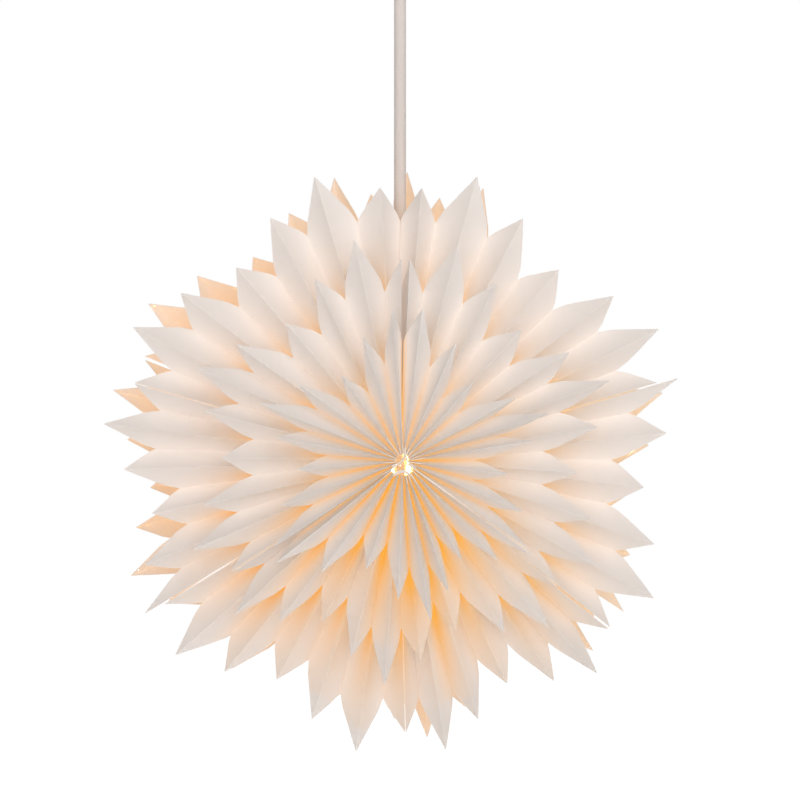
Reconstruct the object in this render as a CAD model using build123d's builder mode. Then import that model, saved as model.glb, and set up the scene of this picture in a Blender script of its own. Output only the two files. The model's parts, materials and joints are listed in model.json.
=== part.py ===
"""Pleated paper star pendant on a straight textile flex, hung from a ceiling strap.

Frame: millimetres, +Z up, the star's front faces -Y.  The origin is the middle of the
strap's top face, which lies on the ceiling.  The star's own axis runs along Y, and its
angles are counted anticlockwise as seen from the front, with 0 to the right (+X).
"""
import os
from collections import namedtuple
from math import cos, hypot, radians, sin, sqrt, tan

from build123d import *

os.makedirs("parts", exist_ok=True)


# ---------------------------------------------------------------- driving dimensions

DROP = 345.0            # ceiling to the star's centre
PAPER = 0.35            # thickness of the folded paper
CARD = 0.35             # thickness of the stiff card inside
SHADE_SHIFT = -3.9      # the paper hangs a little to the left of the flex
BACK_TURN = 4.6         # the back half is turned by about half a fold against the front

FLEX_R = 3.5            # round textile flex
FLEX_MOUTH = 0.2        # play round the flex in the holes that it runs through

PLATE_Z = 76.0          # card plate above the star's centre, resting on the lampholder
PLATE_T = 1.5
BULB_Z = -4.0           # middle of the bulb's globe, from the star's centre
BULB_R = 22.5

CUP_R = 45.0            # ceiling cup
CUP_H = 56.0
CUP_GAP = 4.5           # cup's rim below the ceiling, so that the lamp can swing
CUP_WALL = 2.0

STRAP_LENGTH = 70.0
STRAP_WIDTH = 18.0
STRAP_T = 2.0
STRAP_SPACING = 50.0    # between the two ceiling screws
STRAP_HOLE_R = 2.25

CENTRE_Z = -DROP
SHADE_CENTRE = Vector(SHADE_SHIFT, 0, CENTRE_Z)
HOLDER_TOP = CENTRE_Z + PLATE_Z


def save(builder, name):
    """Label a finished piece and write it as its own file."""
    builder.part.label = name
    export_step(builder.part, f"parts/{name}.step")


# ---------------------------------------------------------------- the folded paper
#
# The star is two shallow domes, front and back.  Each dome is three tiers of pleated
# fans that overlap like tiles.  A fan is one sheet folded to and fro, its folds radial.
# Every ridge ends in a leaf-shaped point, and every valley in a notch.  The points step
# through three lengths: long, medium and short.

TIP_HALF = 0.4          # half width of the blunt end of a point
NOTCH_DEPTH = 18.5      # a notch lies this far below the lower of its two points
SHOULDER_HIGH = 23.5    # shoulder below the point, on the side of a shorter neighbour
SHOULDER_LOW = 14.0     # shoulder below the point, on the side of a longer neighbour
SHOULDER_AT = 0.8       # shoulder's place between the ridge (0) and the valley (1)
FOLD_MARGIN = 3.0       # the folded strip runs this far past its longest point
PAST_FOLD = 1.0         # a leaf's outline is trimmed this far beyond its folds
STAR_DEPTH = 100.0      # more than the depth of one dome

Valley = namedtuple("Valley", "step opening tip")


class Tier:
    """One ring of fans: its point radii, its reach and the depth of its ridges."""

    def __init__(self, long, medium, short, sections, ridge_in, ridge_out, panel):
        self.reach = {"L": long, "M": medium, "S": short}
        self.sections = sections + [long + FOLD_MARGIN]
        self.ridge_in = ridge_in
        self.ridge_out = ridge_out
        self.panel = panel

    def ridge(self, radius):
        """How far a ridge stands in front of the star's middle plane."""
        inner, outer = self.sections[0], self.sections[-1]
        share = (radius - inner) / (outer - inner)
        return self.ridge_in + share * (self.ridge_out - self.ridge_in)

    def drop(self, radius, half_step):
        """Ridge to valley: the panels keep their width as the fan spreads."""
        chord = 2 * radius * sin(half_step / 2)
        return sqrt(self.panel**2 - chord**2)


INNER = Tier(85.3, 72.0, 58.7, [5.2, 14.0], 82.0, 80.0, 20.5)
MID = Tier(126.4, 113.0, 100.2, [37.0], 60.2, 58.0, 21.0)
OUTER = Tier(167.7, 155.2, 142.3, [80.0], 38.6, 33.0, 21.0)

# Each sheet: tier, the order of its points, how far it has slipped outwards, and the
# angles of its folds: valley, ridge, valley, and so on.  None stands for a first or last
# valley that the sheet lacks, because it ends on a ridge.
SHEETS = {
    "inner_left": (INNER, "LMSMLMSML", 0.0, [
        89.6, 93.9, 99.6, 108, 115.6, 125.9, 132.7, 143.6, 148.7, 158.1, 162.6, 169.25, 176,
        184.4, 192.3, 200, 206.4, 213.2, 215.8,
    ]),
    "inner_lower": (INNER, "LMSMLMSML", 4.3, [
        216.1, 218.5, 226.6, 233.4, 243.2, 251, 260.4, 267.9, 274.5, 279.9, 284.5, 289.25,
        295.1, 300.75, 307.4, 313.6, 319, 324, None,
    ]),
    "inner_right": (INNER, "LMSMLMSML", 0.0, [
        None, 324.9, 332, 337.2, 344.9, 352.8, 360.3, 368.9, 374.1, 378.1, 385.4, 389.4, 399.9,
        408.3, 416.4, 425.9, 432.9, 442.8, 448.6,
    ]),
    "mid_left": (MID, "MLMSMLMSMLM", 0.0, [
        88.9, 89.8, 94.6, 101.9, 108.4, 115.3, 121.5, 129.9, 135.9, 144.9, 149, 155.5, 160.6,
        165.75, 171.9, 179.1, 186, 192.6, 197.9, 203.2, 208.8, 212.93, None,
    ]),
    "mid_lower": (MID, "MLMSMLMSMLM", 0.0, [
        None, 213.57, 217.7, 222.8, 228.2, 232.9, 238.7, 244.1, 249.7, 255.75, 260.9, 265.9, 271,
        275.75, 283.7, 288, 295, 301.25, 306.6, 311.6, 317.7, 321.18, None,
    ]),
    "mid_right": (MID, "MLMSMLMSMLM", 0.0, [
        None, 321.82, 327.1, 331.75, 338.1, 343, 350.1, 355.9, 363.2, 369.5, 376.3, 380.75,
        386.8, 392.5, 400.2, 407, 414.7, 421.25, 427.6, 434.9, 441.7, 447.3, 448.75,
    ]),
    "outer_upper_left": (OUTER, "MLMSMLM", 0.0, [
        88.95, 93.7, 99.3, 106.4, 111.6, 117.8, 123.2, 130.1, 135.9, 142.5, 147.5, 153.4, 158.4,
        163.65, None,
    ]),
    "outer_left": (OUTER, "MLMSML", 0.0, [
        None, 163.85, 168.3, 173, 177.5, 182, 187.6, 192.25, 197.2, 202.5, 206.9, 211.25, None,
    ]),
    "outer_lower_left": (OUTER, "MLMSMLM", 0.0, [
        None, 211.7, 216.5, 221.25, 226.7, 230.75, 236.4, 241.1, 246.5, 251.7, 256.7, 261.9,
        267, 271.6, None,
    ]),
    "outer_lower_right": (OUTER, "MLMSMLM", 0.0, [
        None, 271.8, 275.6, 279.5, 283.9, 287.3, 292.2, 296.1, 301.2, 305.3, 309.7, 313.1,
        317.5, 321.25, None,
    ]),
    "outer_right": (OUTER, "MLMSML", 0.0, [
        None, 321.8, 326.9, 331.6, 337.4, 341.75, 348, 353.5, 359.7, 365.5, 371, 376, None,
    ]),
    "outer_upper_right": (OUTER, "MLMSMLM", 0.0, [
        None, 376.4, 381.7, 386.4, 392, 397, 403.4, 409.6, 415.8, 422.4, 427.5, 434.2, 440.4,
        444.9, 448.75,
    ]),
}

# The outer sheets of the back half, which show between the front points, as seen from
# the front.
BACK_OUTER = {
    "outer_upper_left": (OUTER, "MLMSMLM", 1.0, [
        90.2, 94, 97.6, 101.2, 106.8, 112.4, 118.3, 124.3, 130.5, 136.7, 142.1, 147.5, 152.5,
        157.5, None,
    ]),
    "outer_left": (OUTER, "MLMSMLM", 0.0, [
        None, 158.3, 162.3, 166.3, 171.2, 176.1, 181.6, 187.2, 191.3, 195.4, 199.9, 204.5,
        208.8, 213, None,
    ]),
    "outer_lower_left": (OUTER, "MLMSMLM", 0.0, [
        None, 213.6, 218.3, 223.1, 228.2, 233.3, 238.4, 243.4, 248.8, 254.1, 259.1, 264.1,
        267.6, 271.2, None,
    ]),
    "outer_lower_right": (OUTER, "MLMSMLM", 0.0, [
        None, 271.6, 274.6, 277.7, 282.4, 287, 292.1, 297.3, 302.4, 307.5, 312, 316.5, 319.2,
        322, 326.2,
    ]),
    "outer_right": (OUTER, "LMSML", 0.0, [
        None, 326.6, 332.2, 337.9, 344, 350.2, 356.4, 362.5, 367.8, 373.1, 375.6,
    ]),
    "outer_upper_right": (OUTER, "MLMSMLML", 1.5, [
        None, 376.1, 380.9, 385.7, 390.9, 396, 402.1, 408.3, 414.6, 420.9, 425.8, 430.7, 434.9,
        439, 442.7, 446.4, 449.5,
    ]),
}


def fold_side(tier, radius, slip, step, opening, side):
    """Outline of one leg of a pleat at a section, from the ridge's cap to its inside."""
    ridge = tier.ridge(radius)
    drop = tier.drop(radius, opening)
    reach = (radius + slip) * tan(step)
    width = hypot(reach, drop)
    cap = PAPER / 2 * width / drop
    mitre = PAPER / 2 * width / reach
    valley = ridge - drop
    leg = [(cap, ridge), (reach, valley + mitre), (reach, valley), (reach - cap, valley)]
    return [(side * across, height) for across, height in leg], ridge - mitre


def fold_section(tier, radius, slip, before, after):
    """Closed outline of a pleat across its ridge; an end pleat has one leg only."""
    points = []
    inside = 0.0
    if before:
        leg, inside = fold_side(tier, radius, slip, before.step, before.opening, -1)
        points += leg[::-1]
    else:
        points.append((0, tier.ridge(radius)))
    if after:
        leg, inside_after = fold_side(tier, radius, slip, after.step, after.opening, 1)
        points += leg
        inside = (inside + inside_after) / 2 if before else inside_after
    else:
        points.append((0, tier.ridge(radius)))
    points.append((0, inside))
    return points


def leaf_side(tip, neighbour, slip, step, side):
    """Cut edge from a point down to the notch, and on past the valley fold."""
    notch = min(tip, neighbour) - NOTCH_DEPTH + slip
    drop = SHOULDER_HIGH if tip > neighbour else SHOULDER_LOW
    shoulder = tip + slip - drop
    slope = tan(step)
    edge = [
        (tip + slip, TIP_HALF),
        (shoulder, SHOULDER_AT * shoulder * slope),
        (notch, notch * slope),
        (notch, notch * slope + PAST_FOLD),
        (0, PAST_FOLD),
    ]
    return [(along, side * across) for along, across in edge]


def pleat(tier, slip, angle, tip, before, after):
    """One ridge with its one or two panels, trimmed to its leaf-shaped point."""
    along = Vector(cos(radians(angle)), 0, sin(radians(angle)))
    across = Vector(-sin(radians(angle)), 0, cos(radians(angle)))
    with BuildPart() as fold:
        for radius in tier.sections:
            plane = Plane(SHADE_CENTRE + along * (radius + slip), x_dir=across, z_dir=along)
            with BuildSketch(plane):
                with BuildLine():
                    Polyline(*fold_section(tier, radius, slip, before, after), close=True)
                make_face()
        loft(ruled=True)
        with BuildSketch(Plane(SHADE_CENTRE, x_dir=along, z_dir=(0, -1, 0))):
            with BuildLine():
                outline = []
                if before:
                    outline += leaf_side(tip, before.tip, slip, before.step, -1)[::-1]
                else:
                    outline += [(0, -PAST_FOLD), (tip + slip, -PAST_FOLD)]
                if after:
                    outline += leaf_side(tip, after.tip, slip, after.step, 1)
                else:
                    outline += [(tip + slip, PAST_FOLD), (0, PAST_FOLD)]
                Polyline(*outline, close=True)
            make_face()
        extrude(amount=STAR_DEPTH, mode=Mode.INTERSECT)
    return fold.part


def valley_beside(tier, points, folds, index, side):
    """The valley on one side of a ridge: its distance, its opening, the next point."""
    ridges = folds[1::2]
    valley = folds[2 * index + 1 + side]
    if valley is None:
        return None
    step = opening = radians(abs(valley - ridges[index]))
    tip = tier.reach[points[index]]
    if 0 <= index + side < len(ridges):
        opening = radians(abs(ridges[index + side] - ridges[index])) / 2
        tip = tier.reach[points[index + side]]
    return Valley(step, opening, tip)


def sheet(tier, points, slip, folds):
    """A whole fan: its pleats share the valley folds, so they join into one solid."""
    pleats = []
    for index, angle in enumerate(folds[1::2]):
        before = valley_beside(tier, points, folds, index, -1)
        after = valley_beside(tier, points, folds, index, 1)
        pleats.append(pleat(tier, slip, angle, tier.reach[points[index]], before, after))
    with BuildPart() as fan:
        add(pleats)
    return fan


STAR_AXIS = Axis(SHADE_CENTRE, (0, 1, 0))

for name, folding in SHEETS.items():
    front = sheet(*folding)
    save(front, "front_" + name)
    if name in BACK_OUTER:
        twin = sheet(*BACK_OUTER[name])
        turn = 0
    else:
        twin = front
        turn = BACK_TURN
    with BuildPart() as back:
        add(mirror(twin.part, about=Plane.XZ, mode=Mode.PRIVATE).rotate(STAR_AXIS, turn))
    save(back, "back_" + name)
    print(f"{name}: {len(front.part.solids())} and {len(back.part.solids())} solid")


# ---------------------------------------------------------------- card inside the shade

SPINE_IN = 37.6
SPINE_ANGLES = {"spine_card_left": 213.25, "spine_card_right": 321.5}
SPINE_OUTLINE = [
    (SPINE_IN, 59.4), (111.0, 57.8), (104.0, 41.0), (78.5, 41.0), (78.5, 15.5), (122.0, 15.5),
    (122.0, -15.5), (78.5, -15.5), (78.5, -38.4), (SPINE_IN, -38.4),
]

for name, angle in SPINE_ANGLES.items():
    along = Vector(cos(radians(angle)), 0, sin(radians(angle)))
    across = Vector(-sin(radians(angle)), 0, cos(radians(angle)))
    with BuildPart() as spine:
        with BuildSketch(Plane(SHADE_CENTRE, x_dir=along, z_dir=-across)):
            with BuildLine():
                Polyline(*SPINE_OUTLINE, close=True)
            make_face()
        extrude(amount=CARD / 2, both=True)
    save(spine, name)

PLATE_REACH = 38.1      # the plate's ends lie in the valleys of the mid tier
PLATE_HALF = 15.0
PLATE_CORNER = 3.0
NIPPLE_R = 5.0          # the cord grip's threaded foot
NIPPLE_PLAY = 0.6

with BuildPart() as holder_plate:
    with BuildSketch(Plane.XY.offset(HOLDER_TOP)):
        RectangleRounded(2 * PLATE_HALF, 2 * PLATE_REACH, PLATE_CORNER)
        Circle(NIPPLE_R + NIPPLE_PLAY, mode=Mode.SUBTRACT)
    extrude(amount=PLATE_T)
save(holder_plate, "holder_plate")


# ---------------------------------------------------------------- lampholder

CAP_H = 18.0
CAP_R = 13.5
SLEEVE_R = 14.0
SLEEVE_WALL = 1.6
SLEEVE_BOTTOM = -50.0   # all from the holder's top face
INSERT_TOP = -13.0
INSERT_BOTTOM = -27.0
INSERT_R = 11.0
THREAD_R = 7.1          # inside of the screw shell
THREAD_WALL = 0.5
THREAD_BOTTOM = -45.0
GRIP_GAP = 2.0          # free height that the plate has between cap and grip
GRIP_BOTTOM = PLATE_T + GRIP_GAP
GRIP_TOP = 16.0
GRIP_FOOT = -5.0        # the threaded foot ends here, inside the cap
GRIP_NUT_R = 7.6        # to the corners of its hexagon
GRIP_NUT_H = 5.0
GRIP_R = 6.6
GRIP_BORE = 3.0         # it grips the flex's inner leads here
GRIP_TAPER = 6.0
GRIP_SCREW_R = 1.25
GRIP_SCREW_Z = 12.0
GRIP_SCREW_X = 4.2      # inner end of the grip's screw
GRIP_SCREW_LENGTH = 1.2
TERMINAL_X = 5.5        # the two terminals, left and right of the middle
TERMINAL_R = 1.9
TERMINAL_WELL_R = 2.0
TERMINAL_WELL = 5.0     # depth of the screws' wells in the porcelain
TERMINAL_SCREW_H = 4.0
SLOT_WIDTH = 0.6
SLOT_DEPTH = 1.0
SHELL_FLANGE = 0.6

with BuildPart() as holder_cap:
    with BuildSketch(Plane.XZ):
        with BuildLine():
            Polyline(
                (NIPPLE_R, HOLDER_TOP),
                (9.5, HOLDER_TOP),
                (12.4, HOLDER_TOP - 3),
                (CAP_R, HOLDER_TOP - 8),
                (CAP_R, HOLDER_TOP - CAP_H),
                (CAP_R - 1.8, HOLDER_TOP - CAP_H),
                (CAP_R - 1.8, HOLDER_TOP - 9),
                (10.8, HOLDER_TOP - 4.6),
                (8.6, HOLDER_TOP - 2.4),
                (NIPPLE_R, HOLDER_TOP - 2.4),
                close=True,
            )
        make_face()
    revolve(axis=Axis.Z)
save(holder_cap, "holder_cap")

with BuildPart() as cord_grip:
    with BuildSketch(Plane.XY.offset(HOLDER_TOP + GRIP_FOOT)):
        Circle(NIPPLE_R)
    extrude(amount=GRIP_BOTTOM - GRIP_FOOT)
    with BuildSketch(Plane.XY.offset(HOLDER_TOP + GRIP_BOTTOM)):
        RegularPolygon(GRIP_NUT_R, 6)
    extrude(amount=GRIP_NUT_H)
    with BuildSketch(Plane.XY.offset(HOLDER_TOP + GRIP_BOTTOM + GRIP_NUT_H)):
        Circle(GRIP_R)
    extrude(amount=GRIP_TOP - GRIP_BOTTOM - GRIP_NUT_H, taper=GRIP_TAPER)
    with BuildSketch(Plane.XY.offset(HOLDER_TOP + GRIP_FOOT)):
        Circle(GRIP_BORE)
    extrude(amount=GRIP_TOP - GRIP_FOOT, mode=Mode.SUBTRACT)
    with Locations(Plane(origin=(GRIP_R - 1, 0, HOLDER_TOP + GRIP_SCREW_Z), z_dir=(1, 0, 0))):
        Hole(GRIP_SCREW_R, depth=4)
save(cord_grip, "cord_grip")

with BuildPart() as grip_screw:
    start = Plane(origin=(GRIP_SCREW_X, 0, HOLDER_TOP + GRIP_SCREW_Z), z_dir=(1, 0, 0))
    with BuildSketch(start):
        Circle(GRIP_SCREW_R)
    extrude(amount=GRIP_SCREW_LENGTH)
save(grip_screw, "grip_screw")

with BuildPart() as holder_sleeve:
    with BuildSketch(Plane.XZ):
        with BuildLine():
            Polyline(
                (SLEEVE_R - SLEEVE_WALL, HOLDER_TOP - CAP_H - 0.2),
                (SLEEVE_R, HOLDER_TOP - CAP_H - 0.2),
                (SLEEVE_R, HOLDER_TOP - CAP_H - 6),
                (SLEEVE_R - 0.6, HOLDER_TOP - CAP_H - 7),
                (SLEEVE_R - 0.6, HOLDER_TOP + SLEEVE_BOTTOM + 1),
                (SLEEVE_R - 1.0, HOLDER_TOP + SLEEVE_BOTTOM),
                (SLEEVE_R - SLEEVE_WALL - 0.4, HOLDER_TOP + SLEEVE_BOTTOM),
                (SLEEVE_R - SLEEVE_WALL - 0.4, HOLDER_TOP + INSERT_BOTTOM - 0.3),
                (SLEEVE_R - SLEEVE_WALL, HOLDER_TOP + INSERT_BOTTOM - 0.3),
                close=True,
            )
        make_face()
    revolve(axis=Axis.Z)
save(holder_sleeve, "holder_sleeve")

with BuildPart() as holder_insert:
    with BuildSketch(Plane.XY.offset(HOLDER_TOP + INSERT_BOTTOM)):
        Circle(INSERT_R)
    extrude(amount=INSERT_TOP - INSERT_BOTTOM)
    with BuildSketch(Plane.XY.offset(HOLDER_TOP + INSERT_BOTTOM)):
        Circle(THREAD_R)
    extrude(amount=5, mode=Mode.SUBTRACT)
    with Locations((0, 0, HOLDER_TOP + INSERT_TOP)):
        with GridLocations(2 * TERMINAL_X, 0, 2, 1):
            Hole(TERMINAL_WELL_R, depth=TERMINAL_WELL)
save(holder_insert, "holder_insert")

with BuildPart() as terminal_screws:
    with BuildSketch(Plane.XY.offset(HOLDER_TOP + INSERT_TOP - TERMINAL_WELL)):
        with GridLocations(2 * TERMINAL_X, 0, 2, 1):
            Circle(TERMINAL_R)
    extrude(amount=TERMINAL_SCREW_H)
    screw_head = HOLDER_TOP + INSERT_TOP - TERMINAL_WELL + TERMINAL_SCREW_H
    with BuildSketch(Plane.XY.offset(screw_head)):
        with GridLocations(2 * TERMINAL_X, 0, 2, 1):
            Rectangle(2 * TERMINAL_R, SLOT_WIDTH)
    extrude(amount=-SLOT_DEPTH, mode=Mode.SUBTRACT)
save(terminal_screws, "holder_terminal_screws")

with BuildPart() as screw_shell:
    with BuildSketch(Plane.XY.offset(HOLDER_TOP + THREAD_BOTTOM)):
        Circle(THREAD_R + THREAD_WALL)
        Circle(THREAD_R, mode=Mode.SUBTRACT)
    extrude(amount=INSERT_BOTTOM - THREAD_BOTTOM)
    with BuildSketch(Plane.XY.offset(HOLDER_TOP + INSERT_BOTTOM - SHELL_FLANGE)):
        Circle(INSERT_R - THREAD_WALL)
        Circle(THREAD_R, mode=Mode.SUBTRACT)
    extrude(amount=SHELL_FLANGE)
save(screw_shell, "screw_shell")

CONTACT_Z = HOLDER_TOP + INSERT_BOTTOM - SHELL_FLANGE      # where the bulb's tip presses
CONTACT_R = 2.2
CONTACT_H = 1.4
CONTACT_RIM_R = 5.0
CONTACT_RIM = 0.5
SPRING_R = 3.4
SPRING_WIRE_R = 0.3
SPRING_PITCH = 1.15
SPRING_Z = CONTACT_Z + 2.6

with BuildPart() as centre_contact:
    with BuildSketch(Plane.XY.offset(CONTACT_Z)):
        Circle(CONTACT_R)
    extrude(amount=CONTACT_H)
    with BuildSketch(Plane.XY.offset(CONTACT_Z + CONTACT_H)):
        Circle(CONTACT_RIM_R)
    extrude(amount=CONTACT_RIM)
save(centre_contact, "centre_contact")

with BuildPart() as contact_spring:
    with BuildLine():
        Helix(SPRING_PITCH, 2 * SPRING_PITCH, SPRING_R, center=(0, 0, SPRING_Z))
    with BuildSketch(Plane(origin=(SPRING_R, 0, SPRING_Z), z_dir=(0, 1, 0))):
        Circle(SPRING_WIRE_R)
    sweep()
save(contact_spring, "contact_spring")


# ---------------------------------------------------------------- bulb

GLOBE_Z = CENTRE_Z + BULB_Z
GLASS = 0.9
NECK_R = 8.2
BULB_CAP_R = 7.0
BULB_CAP_TOP = CONTACT_Z - 2.6
BULB_CAP_BOTTOM = HOLDER_TOP + THREAD_BOTTOM - 2.5     # its flare clears the screw shell
NECK_TOP = BULB_CAP_BOTTOM - 0.1
NECK_FLARE = 1.2        # the glass is this much wider where it leaves the neck
FLARE_Z = GLOBE_Z + 26.0
CAP_METAL = 0.5
INSULATOR_R = 4.4
TIP_R = 2.0

with BuildPart() as bulb_glass:
    with BuildSketch(Plane.XZ):
        with BuildLine():
            RadiusArc((0, GLOBE_Z - BULB_R), (BULB_R, GLOBE_Z), -BULB_R)
            Spline(
                (BULB_R, GLOBE_Z),
                (NECK_R + NECK_FLARE, FLARE_Z),
                (NECK_R, NECK_TOP),
                tangents=[(0, 1), (0, 1)],
            )
            Line((NECK_R, NECK_TOP), (NECK_R - GLASS, NECK_TOP))
            Spline(
                (NECK_R - GLASS, NECK_TOP),
                (NECK_R + NECK_FLARE - GLASS, FLARE_Z - GLASS / 2),
                (BULB_R - GLASS, GLOBE_Z),
                tangents=[(0, -1), (0, -1)],
            )
            RadiusArc((BULB_R - GLASS, GLOBE_Z), (0, GLOBE_Z - BULB_R + GLASS), BULB_R - GLASS)
            Line((0, GLOBE_Z - BULB_R + GLASS), (0, GLOBE_Z - BULB_R))
        make_face()
    revolve(axis=Axis.Z)
save(bulb_glass, "bulb_glass")

with BuildPart() as bulb_cap:
    with BuildSketch(Plane.XZ):
        with BuildLine():
            Polyline(
                (INSULATOR_R, BULB_CAP_TOP),
                (BULB_CAP_R - 1.4, BULB_CAP_TOP),
                (BULB_CAP_R, BULB_CAP_TOP - 2),
                (BULB_CAP_R, BULB_CAP_BOTTOM + 2),
                (NECK_R, BULB_CAP_BOTTOM),
                (NECK_R - 1.2, BULB_CAP_BOTTOM),
                (BULB_CAP_R - CAP_METAL, BULB_CAP_BOTTOM + 2.4),
                (BULB_CAP_R - CAP_METAL, BULB_CAP_TOP - 2.4),
                (INSULATOR_R, BULB_CAP_TOP - CAP_METAL),
                close=True,
            )
        make_face()
    revolve(axis=Axis.Z)
save(bulb_cap, "bulb_cap")

with BuildPart() as bulb_insulator:
    with BuildSketch(Plane.XY.offset(BULB_CAP_TOP - CAP_METAL)):
        Circle(INSULATOR_R)
        Circle(TIP_R, mode=Mode.SUBTRACT)
    extrude(amount=1.6, taper=18)
save(bulb_insulator, "bulb_insulator")

with BuildPart() as bulb_contact:
    with BuildSketch(Plane.XY.offset(BULB_CAP_TOP - CAP_METAL)):
        Circle(TIP_R)
    extrude(amount=CONTACT_Z - BULB_CAP_TOP + CAP_METAL)
save(bulb_contact, "bulb_contact")

STEM_TOP = NECK_TOP - 0.3
STEM_BOTTOM = GLOBE_Z + 8
FILAMENT_R = 0.9
FILAMENT_LENGTH = 25.0
FILAMENT_COUNT = 4
FILAMENT_RING = 7.0
FILAMENT_SLANT = 0.25
WIRE_R = 0.3
WIRE_IN = 2.6           # where a filament's wire leaves the stem
STEM_R = 2.2

with BuildPart() as bulb_stem:
    with BuildSketch(Plane.XZ):
        with BuildLine():
            Polyline(
                (0, STEM_TOP),
                (7.1, STEM_TOP),
                (5.4, STEM_TOP - 5),
                (STEM_R, STEM_TOP - 11),
                (STEM_R - 0.2, STEM_BOTTOM),
                (0, STEM_BOTTOM),
                close=True,
            )
        make_face()
    revolve(axis=Axis.Z)
save(bulb_stem, "bulb_stem")

FILAMENT_MIDDLE = GLOBE_Z - 1.0

with BuildPart() as filaments:
    for turn in range(FILAMENT_COUNT):
        angle = radians(45 + turn * 360 / FILAMENT_COUNT)
        spot = Vector(FILAMENT_RING * cos(angle), FILAMENT_RING * sin(angle), FILAMENT_MIDDLE)
        slant = Vector(FILAMENT_SLANT * sin(angle), -FILAMENT_SLANT * cos(angle), 1)
        with Locations(Plane(spot, z_dir=slant)):
            Cylinder(FILAMENT_R, FILAMENT_LENGTH)
save(filaments, "filaments")

with BuildPart() as filament_wires:
    for turn in range(FILAMENT_COUNT):
        angle = radians(45 + turn * 360 / FILAMENT_COUNT)
        slant = Vector(FILAMENT_SLANT * sin(angle), -FILAMENT_SLANT * cos(angle), 1)
        spot = Vector(FILAMENT_RING * cos(angle), FILAMENT_RING * sin(angle), FILAMENT_MIDDLE)
        top = spot + slant.normalized() * (FILAMENT_LENGTH / 2 + WIRE_R + 0.05)
        foot = Vector(WIRE_IN * cos(angle), WIRE_IN * sin(angle), top.Z + 3)
        with BuildLine():
            Line(top, foot)
        with BuildSketch(Plane(top, z_dir=foot - top)):
            Circle(WIRE_R)
        sweep()
save(filament_wires, "filament_wires")


# ---------------------------------------------------------------- ceiling strap and hook

HOOK_WIRE = 2.0
HOOK_BEND = 6.5
HOOK_SHANK = 9.0
HOOK_BEND_Z = -STRAP_T - HOOK_SHANK                  # where the shank turns into the bend
HOOK_FOOT = HOOK_BEND_Z - HOOK_BEND                  # centre line at the hook's lowest point
RING_WIRE = 1.6
RING_BEND = 8.0
EYE_WIRE = 1.7
EYE_BEND = 6.0
LINK_PLAY = 0.15
NUT_R = 4.6             # to the corners of its hexagon
NUT_H = 3.2

with BuildPart() as ceiling_strap:
    with BuildSketch(Plane.XY.offset(-STRAP_T)):
        RectangleRounded(STRAP_LENGTH, STRAP_WIDTH, 4)
        with GridLocations(STRAP_SPACING, 0, 2, 1):
            Circle(STRAP_HOLE_R, mode=Mode.SUBTRACT)
        with Locations((-HOOK_BEND, 0)):
            Circle(HOOK_WIRE, mode=Mode.SUBTRACT)
    extrude(amount=STRAP_T)
save(ceiling_strap, "ceiling_strap")

with BuildPart() as strap_hook:
    with BuildLine():
        Line((-HOOK_BEND, 0, -0.2), (-HOOK_BEND, 0, HOOK_BEND_Z))
        ThreePointArc(
            (-HOOK_BEND, 0, HOOK_BEND_Z), (0, 0, HOOK_FOOT), (HOOK_BEND, 0, HOOK_BEND_Z)
        )
    with BuildSketch(Plane(origin=(-HOOK_BEND, 0, -0.2), z_dir=(0, 0, -1))):
        Circle(HOOK_WIRE)
    sweep()
save(strap_hook, "strap_hook")

with BuildPart() as hook_nut:
    with BuildSketch(Plane.XY.offset(-STRAP_T - NUT_H)):
        with Locations((-HOOK_BEND, 0)):
            RegularPolygon(NUT_R, 6)
            Circle(HOOK_WIRE, mode=Mode.SUBTRACT)
    extrude(amount=NUT_H)
save(hook_nut, "hook_nut")

RING_TOP = HOOK_FOOT + HOOK_WIRE + RING_WIRE + LINK_PLAY
RING_Z = RING_TOP - RING_BEND
EYE_TOP = RING_Z - RING_BEND + RING_WIRE + EYE_WIRE + LINK_PLAY
EYE_Z = EYE_TOP - EYE_BEND

with BuildPart() as hanger_ring:
    with Locations(Plane(origin=(0, 0, RING_Z), z_dir=(1, 0, 0))):
        Torus(RING_BEND, RING_WIRE)
save(hanger_ring, "hanger_ring")

CLAMP_TOP = EYE_Z - EYE_BEND + 0.6
CLAMP_H = 12.0
CLAMP_WIDTH = 18.0
CLAMP_DEPTH = 10.0
CLAMP_SPLIT = 0.6
CLAMP_LID = 4.0         # solid top of the clamp, above the end of the flex
CLAMP_SCREW_X = 6.2
CLAMP_SCREW_R = 1.2
CLAMP_HOLE_R = 1.3
CLAMP_HEAD_R = 2.4
CLAMP_HEAD_H = 1.6


def clamp_block(side):
    """One half of the clamp that grips the flex, split down the flex's middle."""
    start = Plane.XZ.offset(-side * CLAMP_SPLIT / 2)
    with BuildPart() as block:
        with BuildSketch(start):
            with Locations((0, CLAMP_TOP - CLAMP_H / 2)):
                RectangleRounded(CLAMP_WIDTH, CLAMP_H, 2)
        extrude(amount=-side * (CLAMP_DEPTH / 2 - CLAMP_SPLIT / 2))
        with BuildSketch(Plane.XY.offset(CLAMP_TOP - CLAMP_H - 1)):
            Circle(FLEX_R)
        extrude(amount=CLAMP_H - CLAMP_LID + 1, mode=Mode.SUBTRACT)
        with BuildSketch(Plane.XZ.offset(CLAMP_DEPTH)):
            with Locations((0, CLAMP_TOP - CLAMP_H / 2)):
                with GridLocations(2 * CLAMP_SCREW_X, 0, 2, 1):
                    Circle(CLAMP_HOLE_R)
        extrude(amount=-2 * CLAMP_DEPTH, mode=Mode.SUBTRACT)
    return block


clamp_front = clamp_block(-1)
save(clamp_front, "clamp_front")
back_half = clamp_block(1)

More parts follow.
